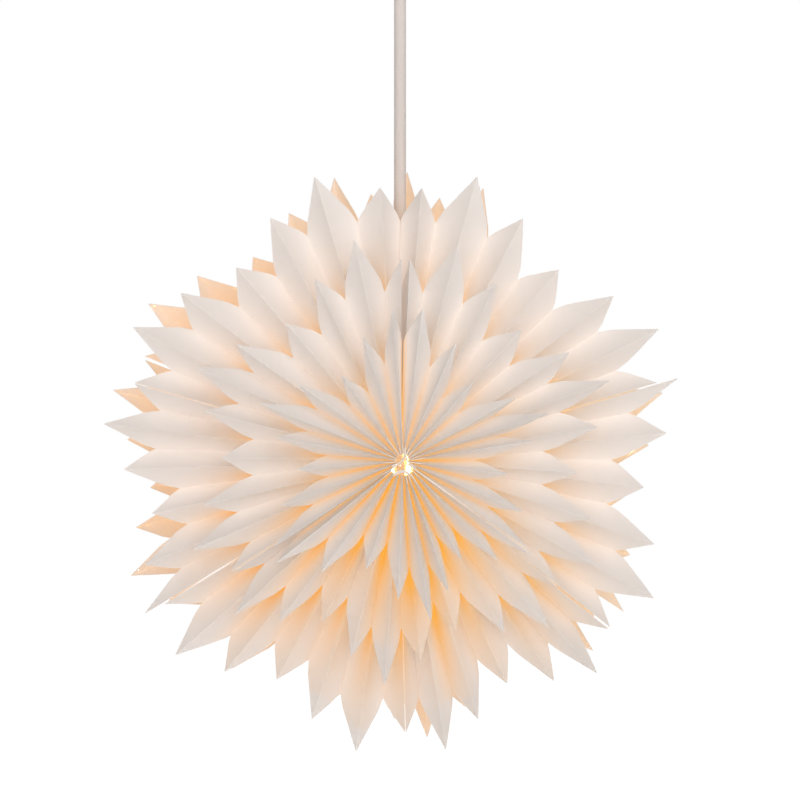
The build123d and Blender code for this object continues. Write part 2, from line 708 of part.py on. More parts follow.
with BuildPart() as clamp_back:
    add(back_half.part)
    with Locations(Plane(origin=(0, 0, EYE_Z), z_dir=(0, 1, 0))):
        Torus(EYE_BEND, EYE_WIRE)
    with BuildSketch(Plane.XZ.offset(-CLAMP_SPLIT / 2)):
        with Locations((0, CLAMP_TOP + 0.8)):
            Rectangle(8, 2.6)
    extrude(amount=-1.4)
    with BuildSketch(Plane.XY.offset(CLAMP_TOP - CLAMP_H - 1)):
        Circle(FLEX_R)
    extrude(amount=CLAMP_H - CLAMP_LID + 1, mode=Mode.SUBTRACT)
    with BuildSketch(Plane.XZ.offset(CLAMP_DEPTH)):
        with Locations((0, CLAMP_TOP - CLAMP_H / 2)):
            Rectangle(CLAMP_WIDTH + 2, CLAMP_H)
    extrude(amount=-CLAMP_DEPTH - CLAMP_SPLIT / 2, mode=Mode.SUBTRACT)
save(clamp_back, "clamp_back")

with BuildPart() as clamp_screws:
    with BuildSketch(Plane.XZ.offset(CLAMP_DEPTH / 2)):
        with Locations((0, CLAMP_TOP - CLAMP_H / 2)):
            with GridLocations(2 * CLAMP_SCREW_X, 0, 2, 1):
                Circle(CLAMP_HEAD_R)
    extrude(amount=CLAMP_HEAD_H)
    with BuildSketch(Plane.XZ.offset(CLAMP_DEPTH / 2)):
        with Locations((0, CLAMP_TOP - CLAMP_H / 2)):
            with GridLocations(2 * CLAMP_SCREW_X, 0, 2, 1):
                Circle(CLAMP_SCREW_R)
    extrude(amount=-CLAMP_DEPTH - 0.5)
save(clamp_screws, "clamp_screws")


# ---------------------------------------------------------------- flex and connections

FLEX_TOP = CLAMP_TOP - CLAMP_LID
FLEX_BOTTOM = HOLDER_TOP + GRIP_TOP

with BuildPart() as flex:
    with BuildSketch(Plane.XY.offset(FLEX_BOTTOM)):
        Circle(FLEX_R)
    extrude(amount=FLEX_TOP - FLEX_BOTTOM)
save(flex, "flex")
print(f"flex: {FLEX_TOP - FLEX_BOTTOM:.1f} mm long, {2 * FLEX_R:.1f} mm across, no bends")

BLOCK_X = 20.0
BLOCK_Z = CLAMP_TOP - 2.0
BLOCK_SIZE = (14.0, 12.0, 16.0)
BLOCK_FACE = BLOCK_X + BLOCK_SIZE[0] / 2
WAY_Y = 3.0             # the two ways through the block, left and right of its middle
WAY_R = 1.6
BLOCK_SCREW_Z = 4.0     # its screws, above and below its middle
BLOCK_SCREW_R = 1.3
BLOCK_WELL_R = 1.4

with BuildPart() as terminal_block:
    with Locations((BLOCK_X, 0, BLOCK_Z)):
        Box(*BLOCK_SIZE)
    with BuildSketch(Plane.XY.offset(BLOCK_Z - BLOCK_SIZE[2])):
        with Locations((BLOCK_X, 0)):
            with GridLocations(0, 2 * WAY_Y, 1, 2):
                Circle(WAY_R)
    extrude(amount=2 * BLOCK_SIZE[2], mode=Mode.SUBTRACT)
    with BuildSketch(Plane.YZ.offset(BLOCK_FACE + 1)):
        with Locations((0, BLOCK_Z)):
            with GridLocations(2 * WAY_Y, 2 * BLOCK_SCREW_Z, 2, 2):
                Circle(BLOCK_WELL_R)
    extrude(amount=-6, mode=Mode.SUBTRACT)
save(terminal_block, "terminal_block")

with BuildPart() as block_screws:
    with BuildSketch(Plane.YZ.offset(BLOCK_FACE - 1)):
        with Locations((0, BLOCK_Z)):
            with GridLocations(2 * WAY_Y, 2 * BLOCK_SCREW_Z, 2, 2):
                Circle(BLOCK_SCREW_R)
    extrude(amount=-3.5)
save(block_screws, "block_screws")

LEAD_R = 1.1
LEAD_TOP = CLAMP_TOP - 7.0
LEAD_LOW = CLAMP_TOP - 15.0
LEAD_OUT = 11.1         # between the clamp and the terminal block
LEAD_START = CLAMP_WIDTH / 2 + 0.3
LEAD_Y = 1.8            # half the distance between the two leads at the clamp

with BuildPart() as leads:
    for side in (-1, 1):
        with BuildLine():
            FilletPolyline(
                (LEAD_START, LEAD_Y * side, LEAD_TOP),
                (LEAD_OUT, LEAD_Y * side, LEAD_TOP),
                (LEAD_OUT, LEAD_Y * side, LEAD_LOW),
                (BLOCK_X, WAY_Y * side, LEAD_LOW),
                (BLOCK_X, WAY_Y * side, BLOCK_Z - 7),
                radius=1.7,
            )
        start = Plane(origin=(LEAD_START, LEAD_Y * side, LEAD_TOP), z_dir=(1, 0, 0))
        with BuildSketch(start):
            Circle(LEAD_R)
        sweep()
save(leads, "block_leads")

with BuildPart() as holder_leads:
    for side in (-1, 1):
        with BuildLine():
            FilletPolyline(
                (1.4 * side, 0, HOLDER_TOP - 3),
                (1.6 * side, 0, HOLDER_TOP - 7),
                (5.2 * side, 0, HOLDER_TOP - 9.5),
                (TERMINAL_X * side, 0, HOLDER_TOP + INSERT_TOP - 0.9),
                radius=1.4,
            )
        with BuildSketch(
            Plane(origin=(1.4 * side, 0, HOLDER_TOP - 3), z_dir=(0.2 * side, 0, -4))
        ):
            Circle(LEAD_R)
        sweep()
save(holder_leads, "holder_leads")


# ---------------------------------------------------------------- ceiling cup

CUP_TOP = -CUP_GAP
CUP_BOTTOM = CUP_TOP - CUP_H
COLLAR_R = 8.0
COLLAR_H = 10.0         # below the cup
COLLAR_NECK_R = 5.4     # its upper part, in the hole of the cup
CUP_HOLE_R = 5.5
THUMB_Z = CUP_BOTTOM - 5.0
THUMB_R = 1.5
THUMB_HOLE_R = 1.55
THUMB_HEAD_R = 3.0
THUMB_HEAD_H = 3.5
THUMB_FACE = COLLAR_R + 0.15

with BuildPart() as ceiling_cup:
    with BuildSketch(Plane.XZ):
        with BuildLine():
            Polyline(
                (CUP_HOLE_R, CUP_BOTTOM),
                (CUP_R - 12, CUP_BOTTOM),
                (CUP_R - 3, CUP_BOTTOM + 7),
                (CUP_R, CUP_BOTTOM + 18),
                (CUP_R, CUP_TOP),
                (CUP_R - CUP_WALL, CUP_TOP),
                (CUP_R - CUP_WALL, CUP_BOTTOM + 18.3),
                (CUP_R - 4.7, CUP_BOTTOM + 8.2),
                (CUP_R - 12.7, CUP_BOTTOM + CUP_WALL),
                (CUP_HOLE_R, CUP_BOTTOM + CUP_WALL),
                close=True,
            )
        make_face()
    revolve(axis=Axis.Z)
save(ceiling_cup, "ceiling_cup")

with BuildPart() as cup_collar:
    with BuildSketch(Plane.XY.offset(CUP_BOTTOM)):
        Circle(COLLAR_R)
    extrude(amount=-COLLAR_H)
    with BuildSketch(Plane.XY.offset(CUP_BOTTOM)):
        Circle(COLLAR_NECK_R)
    extrude(amount=CUP_WALL + 0.4)
    with BuildSketch(Plane.XY.offset(CUP_BOTTOM + 5)):
        Circle(FLEX_R + FLEX_MOUTH)
    extrude(amount=-25, mode=Mode.SUBTRACT)
    with Locations(Plane(origin=(0, -COLLAR_R - 1, THUMB_Z), z_dir=(0, -1, 0))):
        Hole(THUMB_HOLE_R, depth=COLLAR_R - 1)
save(cup_collar, "cup_collar")

with BuildPart() as cup_thumbscrew:
    with BuildSketch(Plane(origin=(0, -FLEX_R - 0.25, THUMB_Z), z_dir=(0, -1, 0))):
        Circle(THUMB_R)
    extrude(amount=COLLAR_R - FLEX_R + 0.4)
    with BuildSketch(Plane(origin=(0, -THUMB_FACE, THUMB_Z), z_dir=(0, -1, 0))):
        Circle(THUMB_HEAD_R)
    extrude(amount=THUMB_HEAD_H)
    with BuildSketch(Plane(origin=(0, -THUMB_FACE - THUMB_HEAD_H, THUMB_Z), z_dir=(0, -1, 0))):
        Rectangle(2 * THUMB_HEAD_R, 0.8)
    extrude(amount=-SLOT_DEPTH, mode=Mode.SUBTRACT)
save(cup_thumbscrew, "cup_thumbscrew")
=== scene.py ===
# %% [markdown]
# # A pleated paper star lamp
#
# This lesson dresses a paper star pendant.  The star is two shallow domes of folded paper,
# one facing the room and one behind, with a bulb glowing between them.  The solids that
# carry it are already placed, so every new piece goes exactly where its solid is.

# %% Load the solids
import json
import math
import random

import bpy
from mathutils import Matrix, Vector

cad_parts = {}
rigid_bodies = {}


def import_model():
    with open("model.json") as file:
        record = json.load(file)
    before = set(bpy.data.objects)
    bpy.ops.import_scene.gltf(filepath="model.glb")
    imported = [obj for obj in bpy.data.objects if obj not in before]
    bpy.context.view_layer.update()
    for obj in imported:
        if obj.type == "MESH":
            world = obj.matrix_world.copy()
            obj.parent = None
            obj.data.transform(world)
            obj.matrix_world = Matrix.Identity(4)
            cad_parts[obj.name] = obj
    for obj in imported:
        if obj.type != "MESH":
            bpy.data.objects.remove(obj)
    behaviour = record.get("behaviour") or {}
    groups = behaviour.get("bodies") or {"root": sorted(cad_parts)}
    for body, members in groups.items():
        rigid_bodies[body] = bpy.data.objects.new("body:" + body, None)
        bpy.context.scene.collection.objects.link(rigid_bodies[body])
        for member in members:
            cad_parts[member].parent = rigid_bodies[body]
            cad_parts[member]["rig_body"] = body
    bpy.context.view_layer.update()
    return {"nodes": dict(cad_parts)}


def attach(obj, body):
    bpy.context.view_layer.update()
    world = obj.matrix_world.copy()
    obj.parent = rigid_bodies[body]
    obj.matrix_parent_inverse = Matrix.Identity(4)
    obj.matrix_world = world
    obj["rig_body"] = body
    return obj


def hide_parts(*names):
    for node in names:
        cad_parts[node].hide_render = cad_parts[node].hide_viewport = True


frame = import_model()
MM = 0.001

# %% [markdown]
# ## The camera and the flex come first
#
# The lamp was seen from straight ahead and a little from the left, by about four degrees.
# A long lens keeps the star nearly undistorted.  The camera is level and looks at the
# flex, so the star's centre sits low in the picture and the flex leaves it at the top.

# %% Camera
VIEW_YAW = math.radians(4.1)
VIEW_DISTANCE = 1.683
VIEW_HEIGHT = -0.3111
LENS_MM = 130.3

camera_data = bpy.data.cameras.new("camera")
camera_data.lens = LENS_MM
camera_data.sensor_width = 36
camera = bpy.data.objects.new("camera", camera_data)
bpy.context.scene.collection.objects.link(camera)
camera.location = (
    -VIEW_DISTANCE * math.sin(VIEW_YAW),
    -VIEW_DISTANCE * math.cos(VIEW_YAW),
    VIEW_HEIGHT,
)
camera.rotation_euler = (math.radians(90), 0, -VIEW_YAW)
bpy.context.scene.camera = camera
print("camera at", [round(x, 3) for x in camera.location])

# %% [markdown]
# ## Small helpers
#
# Operators act on what is selected, so each step starts by selecting one piece alone.
# A finished piece has its place in its mesh and its object at the origin.


# %% Helpers for picking a piece and finishing it
def pick(piece):
    """Select one piece alone and make it active."""
    bpy.ops.object.select_all(action="DESELECT")
    piece.select_set(True)
    bpy.context.view_layer.objects.active = piece


def settle(piece, name, material):
    """Put the piece's place into its mesh, name it and give it its finish."""
    pick(piece)
    bpy.ops.object.transform_apply(location=True, rotation=True, scale=True)
    piece.name = name
    piece.data.name = name
    piece.data.materials.clear()
    piece.data.materials.append(material)
    return piece


def dress(piece, node):
    """The piece takes the place of one solid and moves with the same body."""
    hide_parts(node)
    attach(piece, frame["nodes"][node]["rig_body"])


# %% [markdown]
# ## Finishes
#
# Every finish is a small node graph.  Three effects are node groups with named inputs:
# paper fibres, the lamp's glow on paper, and the mottling and grain of hard surfaces.  The
# groups put out colours, shares and heights only; the shader stays in the material itself.


# %% Node helpers
def link(tree, start, end):
    """Join an output socket to an input socket."""
    tree.links.new(start, end)


def new_group(name, inputs, outputs):
    """An empty node group with its sockets, given as (name, kind, value) and (name, kind)."""
    group = bpy.data.node_groups.new(name, "ShaderNodeTree")
    for label, kind, value in inputs:
        socket = group.interface.new_socket(label, in_out="INPUT", socket_type=kind)
        socket.default_value = value
    for label, kind in outputs:
        group.interface.new_socket(label, in_out="OUTPUT", socket_type=kind)
    start = group.nodes.new("NodeGroupInput")
    end = group.nodes.new("NodeGroupOutput")
    return group, start, end


def math_node(tree, operation, first, second=None):
    """A Math node; each operand is a socket or a number."""
    node = tree.nodes.new("ShaderNodeMath")
    node.operation = operation
    for socket, value in zip(node.inputs, (first, second)):
        if isinstance(value, (int, float)):
            socket.default_value = value
        elif value is not None:
            link(tree, value, socket)
    return node.outputs[0]


def mix_colours(tree, share, first, second):
    """A colour mix; each colour is a socket or a value."""
    node = tree.nodes.new("ShaderNodeMix")
    node.data_type = "RGBA"
    link(tree, share, node.inputs["Factor"])
    for label, value in (("A", first), ("B", second)):
        if isinstance(value, tuple):
            node.inputs[label].default_value = value
        else:
            link(tree, value, node.inputs[label])
    return node.outputs["Result"]


# %% Group: fibres, for paper and card
CLOUD_SHARE = 0.55

fibre_group, inside, out = new_group(
    "paper_fibre",
    [
        ("Light", "NodeSocketColor", (0.9, 0.9, 0.9, 1)),
        ("Dark", "NodeSocketColor", (0.8, 0.8, 0.8, 1)),
        ("Size", "NodeSocketFloat", 400.0),
    ],
    [("Color", "NodeSocketColor"), ("Height", "NodeSocketFloat")],
)
place = fibre_group.nodes.new("ShaderNodeTexCoord")
cloud = fibre_group.nodes.new("ShaderNodeTexNoise")
cloud.inputs["Scale"].default_value = 38
cloud.inputs["Detail"].default_value = 4
fine = fibre_group.nodes.new("ShaderNodeTexNoise")
fine.inputs["Detail"].default_value = 5
fine.inputs["Roughness"].default_value = 0.7
fine.inputs["Distortion"].default_value = 1.5
both = math_node(
    fibre_group,
    "ADD",
    math_node(fibre_group, "MULTIPLY", cloud.outputs["Fac"], CLOUD_SHARE),
    math_node(fibre_group, "MULTIPLY", fine.outputs["Fac"], 1 - CLOUD_SHARE),
)
blend = mix_colours(fibre_group, both, inside.outputs["Dark"], inside.outputs["Light"])
link(fibre_group, place.outputs["Object"], cloud.inputs["Vector"])
link(fibre_group, place.outputs["Object"], fine.inputs["Vector"])
link(fibre_group, inside.outputs["Size"], fine.inputs["Scale"])
link(fibre_group, blend, out.inputs["Color"])
link(fibre_group, fine.outputs["Fac"], out.inputs["Height"])
print("group made:", fibre_group.name)

# %% Group: the lamp's glow, painted on the paper
GLOW_SIDES = (-0.10, 0.12)
FULL_TINT = 0.8
BLACK = (0, 0, 0, 1)

glow_group, inside, out = new_group(
    "lamp_glow",
    [
        ("Glow", "NodeSocketFloat", 0.0),
        ("Paper", "NodeSocketColor", (0.8, 0.8, 0.8, 1)),
        ("Left", "NodeSocketColor", (1.0, 0.4, 0.1, 1)),
        ("Right", "NodeSocketColor", (1.0, 0.5, 0.1, 1)),
        ("Faint", "NodeSocketColor", (1.0, 0.7, 0.5, 1)),
        ("Soft", "NodeSocketFloat", 0.0),
        ("Soft Color", "NodeSocketColor", (0.2, 0.2, 0.2, 1)),
    ],
    [("Color", "NodeSocketColor"), ("Glow Color", "NodeSocketColor")],
)
glow_in = inside.outputs
place = glow_group.nodes.new("ShaderNodeTexCoord")
split = glow_group.nodes.new("ShaderNodeSeparateXYZ")
across = glow_group.nodes.new("ShaderNodeMapRange")
across.inputs["From Min"].default_value = GLOW_SIDES[0]
across.inputs["From Max"].default_value = GLOW_SIDES[1]
strong = glow_group.nodes.new("ShaderNodeMapRange")
strong.inputs["From Max"].default_value = FULL_TINT
link(glow_group, place.outputs["Object"], split.inputs["Vector"])
link(glow_group, split.outputs["X"], across.inputs["Value"])
link(glow_group, glow_in["Glow"], strong.inputs["Value"])
# Painted light: the glow's colour turns from a deeper orange at the star's left to a yellower one
# at its right, and is only a faint tint where the glow is weak.
sided = mix_colours(glow_group, across.outputs["Result"], glow_in["Left"], glow_in["Right"])
tint = mix_colours(glow_group, strong.outputs["Result"], glow_in["Faint"], sided)
# The room's light that white panels pass on to each other is painted light too, shown where the
# glow is weak.
soft = mix_colours(glow_group, glow_in["Soft"], BLACK, glow_in["Soft Color"])
shining = mix_colours(glow_group, glow_in["Glow"], soft, tint)
# Painted shade: as the glow grows, the paper's own colour goes towards black, as where the room's
# light doesn't reach into the notches.
shaded = mix_colours(glow_group, glow_in["Glow"], glow_in["Paper"], BLACK)
link(glow_group, shining, out.inputs["Glow Color"])
link(glow_group, shaded, out.inputs["Color"])
print("group made:", glow_group.name)

# %% Group: grain and mottling, for plastic, metal and porcelain
grain_group, inside, out = new_group(
    "grain",
    [
        ("Light", "NodeSocketColor", (0.9, 0.9, 0.9, 1)),
        ("Dark", "NodeSocketColor", (0.8, 0.8, 0.8, 1)),
        ("Size", "NodeSocketFloat", 900.0),
        ("Smooth", "NodeSocketFloat", 0.3),
        ("Rough", "NodeSocketFloat", 0.5),
    ],
    [
        ("Color", "NodeSocketColor"),
        ("Roughness", "NodeSocketFloat"),
        ("Height", "NodeSocketFloat"),
    ],
)
place = grain_group.nodes.new("ShaderNodeTexCoord")
patch = grain_group.nodes.new("ShaderNodeTexNoise")
patch.inputs["Scale"].default_value = 70
patch.inputs["Detail"].default_value = 3
speck = grain_group.nodes.new("ShaderNodeTexNoise")
speck.inputs["Detail"].default_value = 2
blend = mix_colours(
    grain_group, patch.outputs["Fac"], inside.outputs["Dark"], inside.outputs["Light"]
)
shine = grain_group.nodes.new("ShaderNodeMapRange")
link(grain_group, place.outputs["Object"], patch.inputs["Vector"])
link(grain_group, place.outputs["Object"], speck.inputs["Vector"])
link(grain_group, inside.outputs["Size"], speck.inputs["Scale"])
link(grain_group, patch.outputs["Fac"], shine.inputs["Value"])
link(grain_group, inside.outputs["Smooth"], shine.inputs["To Min"])
link(grain_group, inside.outputs["Rough"], shine.inputs["To Max"])
link(grain_group, blend, out.inputs["Color"])
link(grain_group, shine.outputs["Result"], out.inputs["Roughness"])
link(grain_group, speck.outputs["Fac"], out.inputs["Height"])
print("group made:", grain_group.name)


# %% A plain start for every finish
GRAIN_HEIGHT = 0.0002
FIBRE_HEIGHT = 0.0001


def new_finish(name):
    """A material with its node tree, its shader and its output."""
    material = bpy.data.materials.new(name)
    material.use_nodes = True
    tree = material.node_tree
    return material, tree, tree.nodes["Principled BSDF"], tree.nodes["Material Output"]


def add_bump(tree, shader, height, strength, distance):
    """A Bump node between a height and the shader's Normal."""
    bump = tree.nodes.new("ShaderNodeBump")
    bump.inputs["Strength"].default_value = strength
    bump.inputs["Distance"].default_value = distance
    link(tree, height, bump.inputs["Height"])
    link(tree, bump.outputs["Normal"], shader.inputs["Normal"])
    return bump


def add_group(tree, group, **values):
    """Place a node group and set its named inputs."""
    node = tree.nodes.new("ShaderNodeGroup")
    node.node_tree = group
    for label, value in values.items():
        node.inputs[label].default_value = value
    return node


def attribute(tree, name):
    """A value that every point of the mesh keeps."""
    node = tree.nodes.new("ShaderNodeAttribute")
    node.attribute_name = name
    return node.outputs["Fac"]


def mix_shaders(tree, output, share, first, second):
    """Blend two shaders and hand the result to the material's output."""
    mix = tree.nodes.new("ShaderNodeMixShader")
    link(tree, share, mix.inputs["Fac"])
    link(tree, first, mix.inputs[1])
    link(tree, second, mix.inputs[2])
    link(tree, mix.outputs["Shader"], output.inputs["Surface"])


def grained(name, light, dark, size, smooth, rough, bump, metallic=0.0):
    """A finish for a hard piece: colour patches, uneven shine and a fine grain."""
    material, tree, shader, _ = new_finish(name)
    grain = add_group(tree, grain_group, Light=light, Dark=dark, Size=size)
    grain.inputs["Smooth"].default_value = smooth
    grain.inputs["Rough"].default_value = rough
    link(tree, grain.outputs["Color"], shader.inputs["Base Color"])
    link(tree, grain.outputs["Roughness"], shader.inputs["Roughness"])
    shader.inputs["Metallic"].default_value = metallic
    add_bump(tree, shader, grain.outputs["Height"], bump, GRAIN_HEIGHT)
    return material


print("node groups:", [group.name for group in bpy.data.node_groups])

# %% [markdown]
# ## The paper
#
# The paper is thin and white with a warm cast.  Room light gives it its pale face, and the
# bulb's light soaks through it.  So the finish mixes an ordinary matt shader with a
# translucent one, which shows the light that falls on the other side.  Where the paper is
# doubled, nothing soaks through.
#
# The light that slips out at the notches, and the light that white panels pass on to each
# other, would take a renderer very long to find, so both are painted.  The mesh keeps them
# as attributes, and the glow group turns them into a colour that shines.  Where the glow is
# strong, the paper's own colour is painted darker, as shade where the room's light doesn't
# reach, so that it stays a deep amber and doesn't turn pale.

# %% Finish: folded paper
SOAK_THROUGH = 0.10
GLOW_PEAK = 0.98
GLOW_LEFT = (1.0, 0.40, 0.055, 1)
GLOW_RIGHT = (1.0, 0.48, 0.05, 1)
GLOW_FAINT = (1.0, 0.62, 0.30, 1)
SOFT_LIGHT = (0.105, 0.108, 0.115, 1)


def paper_finish(name, light, dark, soak_colour):
    """Matt paper that lets part of the light behind it through, with painted light and painted
    shade.
    """
    material, tree, shader, output = new_finish(name)
    fibre = add_group(tree, fibre_group, Light=light, Dark=dark, Size=1400.0)
    shader.inputs["Roughness"].default_value = 0.82
    shader.inputs["Specular IOR Level"].default_value = 0.25
    bump = add_bump(tree, shader, fibre.outputs["Height"], 0.25, FIBRE_HEIGHT)
    soak = tree.nodes.new("ShaderNodeBsdfTranslucent")
    soak.inputs["Color"].default_value = soak_colour
    link(tree, bump.outputs["Normal"], soak.inputs["Normal"])
    single = math_node(tree, "SUBTRACT", 1.0, attribute(tree, "doubled"))
    share = math_node(tree, "MULTIPLY", single, SOAK_THROUGH)
    mix_shaders(tree, output, share, shader.outputs["BSDF"], soak.outputs["BSDF"])
    # The lamp's glow and the room's light passed on in the folds are painted light read from the
    # mesh's attributes; the darker paper under the glow is painted shade.
    glow = add_group(tree, glow_group, Left=GLOW_LEFT, Right=GLOW_RIGHT, Faint=GLOW_FAINT)
    glow.inputs["Soft Color"].default_value = SOFT_LIGHT
    link(tree, attribute(tree, "soft_light"), glow.inputs["Soft"])
    link(tree, attribute(tree, "lamp_glow"), glow.inputs["Glow"])
    link(tree, fibre.outputs["Color"], glow.inputs["Paper"])
    link(tree, glow.outputs["Color"], shader.inputs["Base Color"])
    link(tree, glow.outputs["Glow Color"], shader.inputs["Emission Color"])
    shader.inputs["Emission Strength"].default_value = GLOW_PEAK
    return material


paper = paper_finish(
    "folded_paper", (0.855, 0.832, 0.815, 1), (0.815, 0.787, 0.77, 1), (1.0, 0.82, 0.48, 1)
)
card = paper_finish(
    "stiff_card", (0.86, 0.80, 0.73, 1), (0.80, 0.74, 0.66, 1), (0.95, 0.78, 0.58, 1)
)
print("paper lets through", SOAK_THROUGH)

# %% [markdown]
# ## Finishes of the hard pieces
#
# The lampholder and the ceiling cup are moulded, the hook and strap are zinc plated, and
# the terminals are brass.  Each has its own colour spread, grain and shine.

# %% Finishes: moulded, metal and porcelain
holder_white = grained(
    "holder_moulding", (0.88, 0.87, 0.83, 1), (0.83, 0.81, 0.77, 1), 1500.0, 0.35, 0.5, 0.12
)
cup_white = grained(
    "cup_moulding", (0.93, 0.92, 0.90, 1), (0.88, 0.87, 0.85, 1), 800.0, 0.22, 0.34, 0.05
)
block_white = grained(
    "terminal_moulding", (0.90, 0.90, 0.87, 1), (0.82, 0.82, 0.78, 1), 1100.0, 0.4, 0.6, 0.1
)
porcelain = grained(
    "porcelain", (0.92, 0.91, 0.87, 1), (0.86, 0.84, 0.80, 1), 500.0, 0.12, 0.3, 0.04
)
zinc = grained(
    "zinc_plate", (0.72, 0.73, 0.74, 1), (0.52, 0.54, 0.57, 1), 2400.0, 0.25, 0.48, 0.2, 1.0
)
brass = grained(
    "brass", (0.83, 0.64, 0.30, 1), (0.62, 0.44, 0.18, 1), 1800.0, 0.2, 0.42, 0.15, 1.0
)
spring_steel = grained(
    "spring_steel", (0.66, 0.66, 0.67, 1), (0.50, 0.50, 0.52, 1), 3000.0, 0.25, 0.4, 0.1, 1.0
)
cap_metal = grained(
    "bulb_cap_metal", (0.82, 0.82, 0.81, 1), (0.66, 0.66, 0.66, 1), 1600.0, 0.2, 0.4, 0.12, 1.0
)
lead_brown = grained(
    "lead_jacket", (0.42, 0.24, 0.14, 1), (0.30, 0.16, 0.09, 1), 900.0, 0.3, 0.5, 0.1
)
black_glass = grained(
    "black_glass", (0.03, 0.03, 0.035, 1), (0.015, 0.015, 0.02, 1), 700.0, 0.08, 0.2, 0.03
)
print("finishes so far:", len(bpy.data.materials))


# %% [markdown]
# ## Clear glass and the glowing filaments
#
# The globe is clear glass.  A renderer finds it hard to aim light through glass, so for
# shadows and soft light the glass steps aside, and only what looks straight at it sees
# it.  The filaments are the lamp's real source: thin sticks that shine by themselves.
# They are far brighter than a picture can show, so the eye sees a much weaker glow.

# %% Finish: clear glass
def glass_finish(name, tint):
    """Clear glass that lets the lamp's own light pass."""
    material, tree, shader, output = new_finish(name)
    shader.inputs["Base Color"].default_value = tint
    shader.inputs["Roughness"].default_value = 0.02
    shader.inputs["IOR"].default_value = 1.47
    shader.inputs["Transmission Weight"].default_value = 1.0
    rays = tree.nodes.new("ShaderNodeLightPath").outputs
    aside = math_node(tree, "MAXIMUM", rays["Is Shadow Ray"], rays["Is Diffuse Ray"])
    clear = tree.nodes.new("ShaderNodeBsdfTransparent")
    mix_shaders(tree, output, aside, shader.outputs["BSDF"], clear.outputs["BSDF"])
    return material


globe_glass = glass_finish("globe_glass", (1.0, 0.985, 0.96, 1))
stem_glass = glass_finish("stem_glass", (0.97, 0.98, 0.97, 1))
print("glass made:", globe_glass.name, stem_glass.name)

# %% Finish: glowing filament
FILAMENT_GLOW = 650.0
FILAMENT_SEEN = 9.0
filament_glow, tree, shader, _ = new_finish("filament_glow")
shader.inputs["Base Color"].default_value = (1.0, 0.80, 0.45, 1)
shader.inputs["Roughness"].default_value = 0.6
glow_noise = add_group(
    tree,
    grain_group,
    Light=(1.0, 0.60, 0.19, 1),
    Dark=(1.0, 0.56, 0.16, 1),
    Size=900.0,
)
link(tree, glow_noise.outputs["Color"], shader.inputs["Emission Color"])
rays = tree.nodes.new("ShaderNodeLightPath").outputs
sharp = math_node(tree, "SUBTRACT", rays["Is Transmission Ray"], rays["Is Diffuse Ray"])
eye = math_node(tree, "MAXIMUM", rays["Is Camera Ray"], sharp)
dimming = math_node(tree, "MULTIPLY", eye, FILAMENT_GLOW - FILAMENT_SEEN)
strength = math_node(tree, "SUBTRACT", FILAMENT_GLOW, dimming)
link(tree, strength, shader.inputs["Emission Strength"])
print("filaments glow at", FILAMENT_GLOW)

# %% [markdown]
# ## The flex
#
# A thick textile flex carries the lamp.  It hangs taut and dead straight, so its line is
# a short row of points on the Z axis.  Its jacket is braided: two sets of yarns wind
# round it in opposite ways.  The braid is drawn from the height and from the angle round
# the flex, so it stays in place on the surface.

# %% Flex: its line and its tube
FLEX_BOTTOM = -0.253
FLEX_TOP = -0.0417
FLEX_ACROSS = 0.007
FLEX_POINTS = [
    (0, 0, FLEX_BOTTOM),
    (0, 0, -0.19),
    (0, 0, -0.12),
    (0, 0, FLEX_TOP),
]

flex_curve = bpy.data.curves.new("textile_flex", "CURVE")
flex_curve.dimensions = "3D"
flex_line = flex_curve.splines.new("NURBS")
flex_line.points.add(len(FLEX_POINTS) - 1)
for point, spot in zip(flex_line.points, FLEX_POINTS):
    point.co = (*spot, 1)
flex_line.order_u = 3
flex_line.use_endpoint_u = True
flex_line.resolution_u = 24
flex_curve.bevel_depth = FLEX_ACROSS / 2
flex_curve.bevel_resolution = 10
flex_curve.use_fill_caps = True
flex = bpy.data.objects.new("textile_flex", flex_curve)
bpy.context.scene.collection.objects.link(flex)
print("flex length", round(FLEX_TOP - FLEX_BOTTOM, 4))

# %% Finish: braided textile
YARNS_ROUND = 14
YARN_SLOPE = 1500.0
GAP_BELOW = -0.6
# Painted shade: the gaps between the yarns are coloured darker, as where the yarns shade each
# other.
GAP_SHADE_COLOUR = (0.66, 0.60, 0.56, 1)

textile, tree, shader, _ = new_finish("braided_textile")
place = tree.nodes.new("ShaderNodeTexCoord")
split = tree.nodes.new("ShaderNodeSeparateXYZ")
link(tree, place.outputs["Object"], split.inputs["Vector"])
turn = math_node(tree, "ARCTAN2", split.outputs["Y"], split.outputs["X"])
around = math_node(tree, "MULTIPLY", turn, YARNS_ROUND)
along = math_node(tree, "MULTIPLY", split.outputs["Z"], YARN_SLOPE)
rising = math_node(tree, "SINE", math_node(tree, "ADD", around, along))
falling = math_node(tree, "SINE", math_node(tree, "SUBTRACT", around, along))
weave = math_node(tree, "MAXIMUM", rising, falling)
weave_share = tree.nodes.new("ShaderNodeMapRange")
weave_share.inputs["From Min"].default_value = GAP_BELOW
link(tree, weave, weave_share.inputs["Value"])
fuzz = add_group(
    tree,
    fibre_group,
    Light=(0.72, 0.65, 0.61, 1),
    Dark=(0.68, 0.615, 0.575, 1),
    Size=2200.0,
)
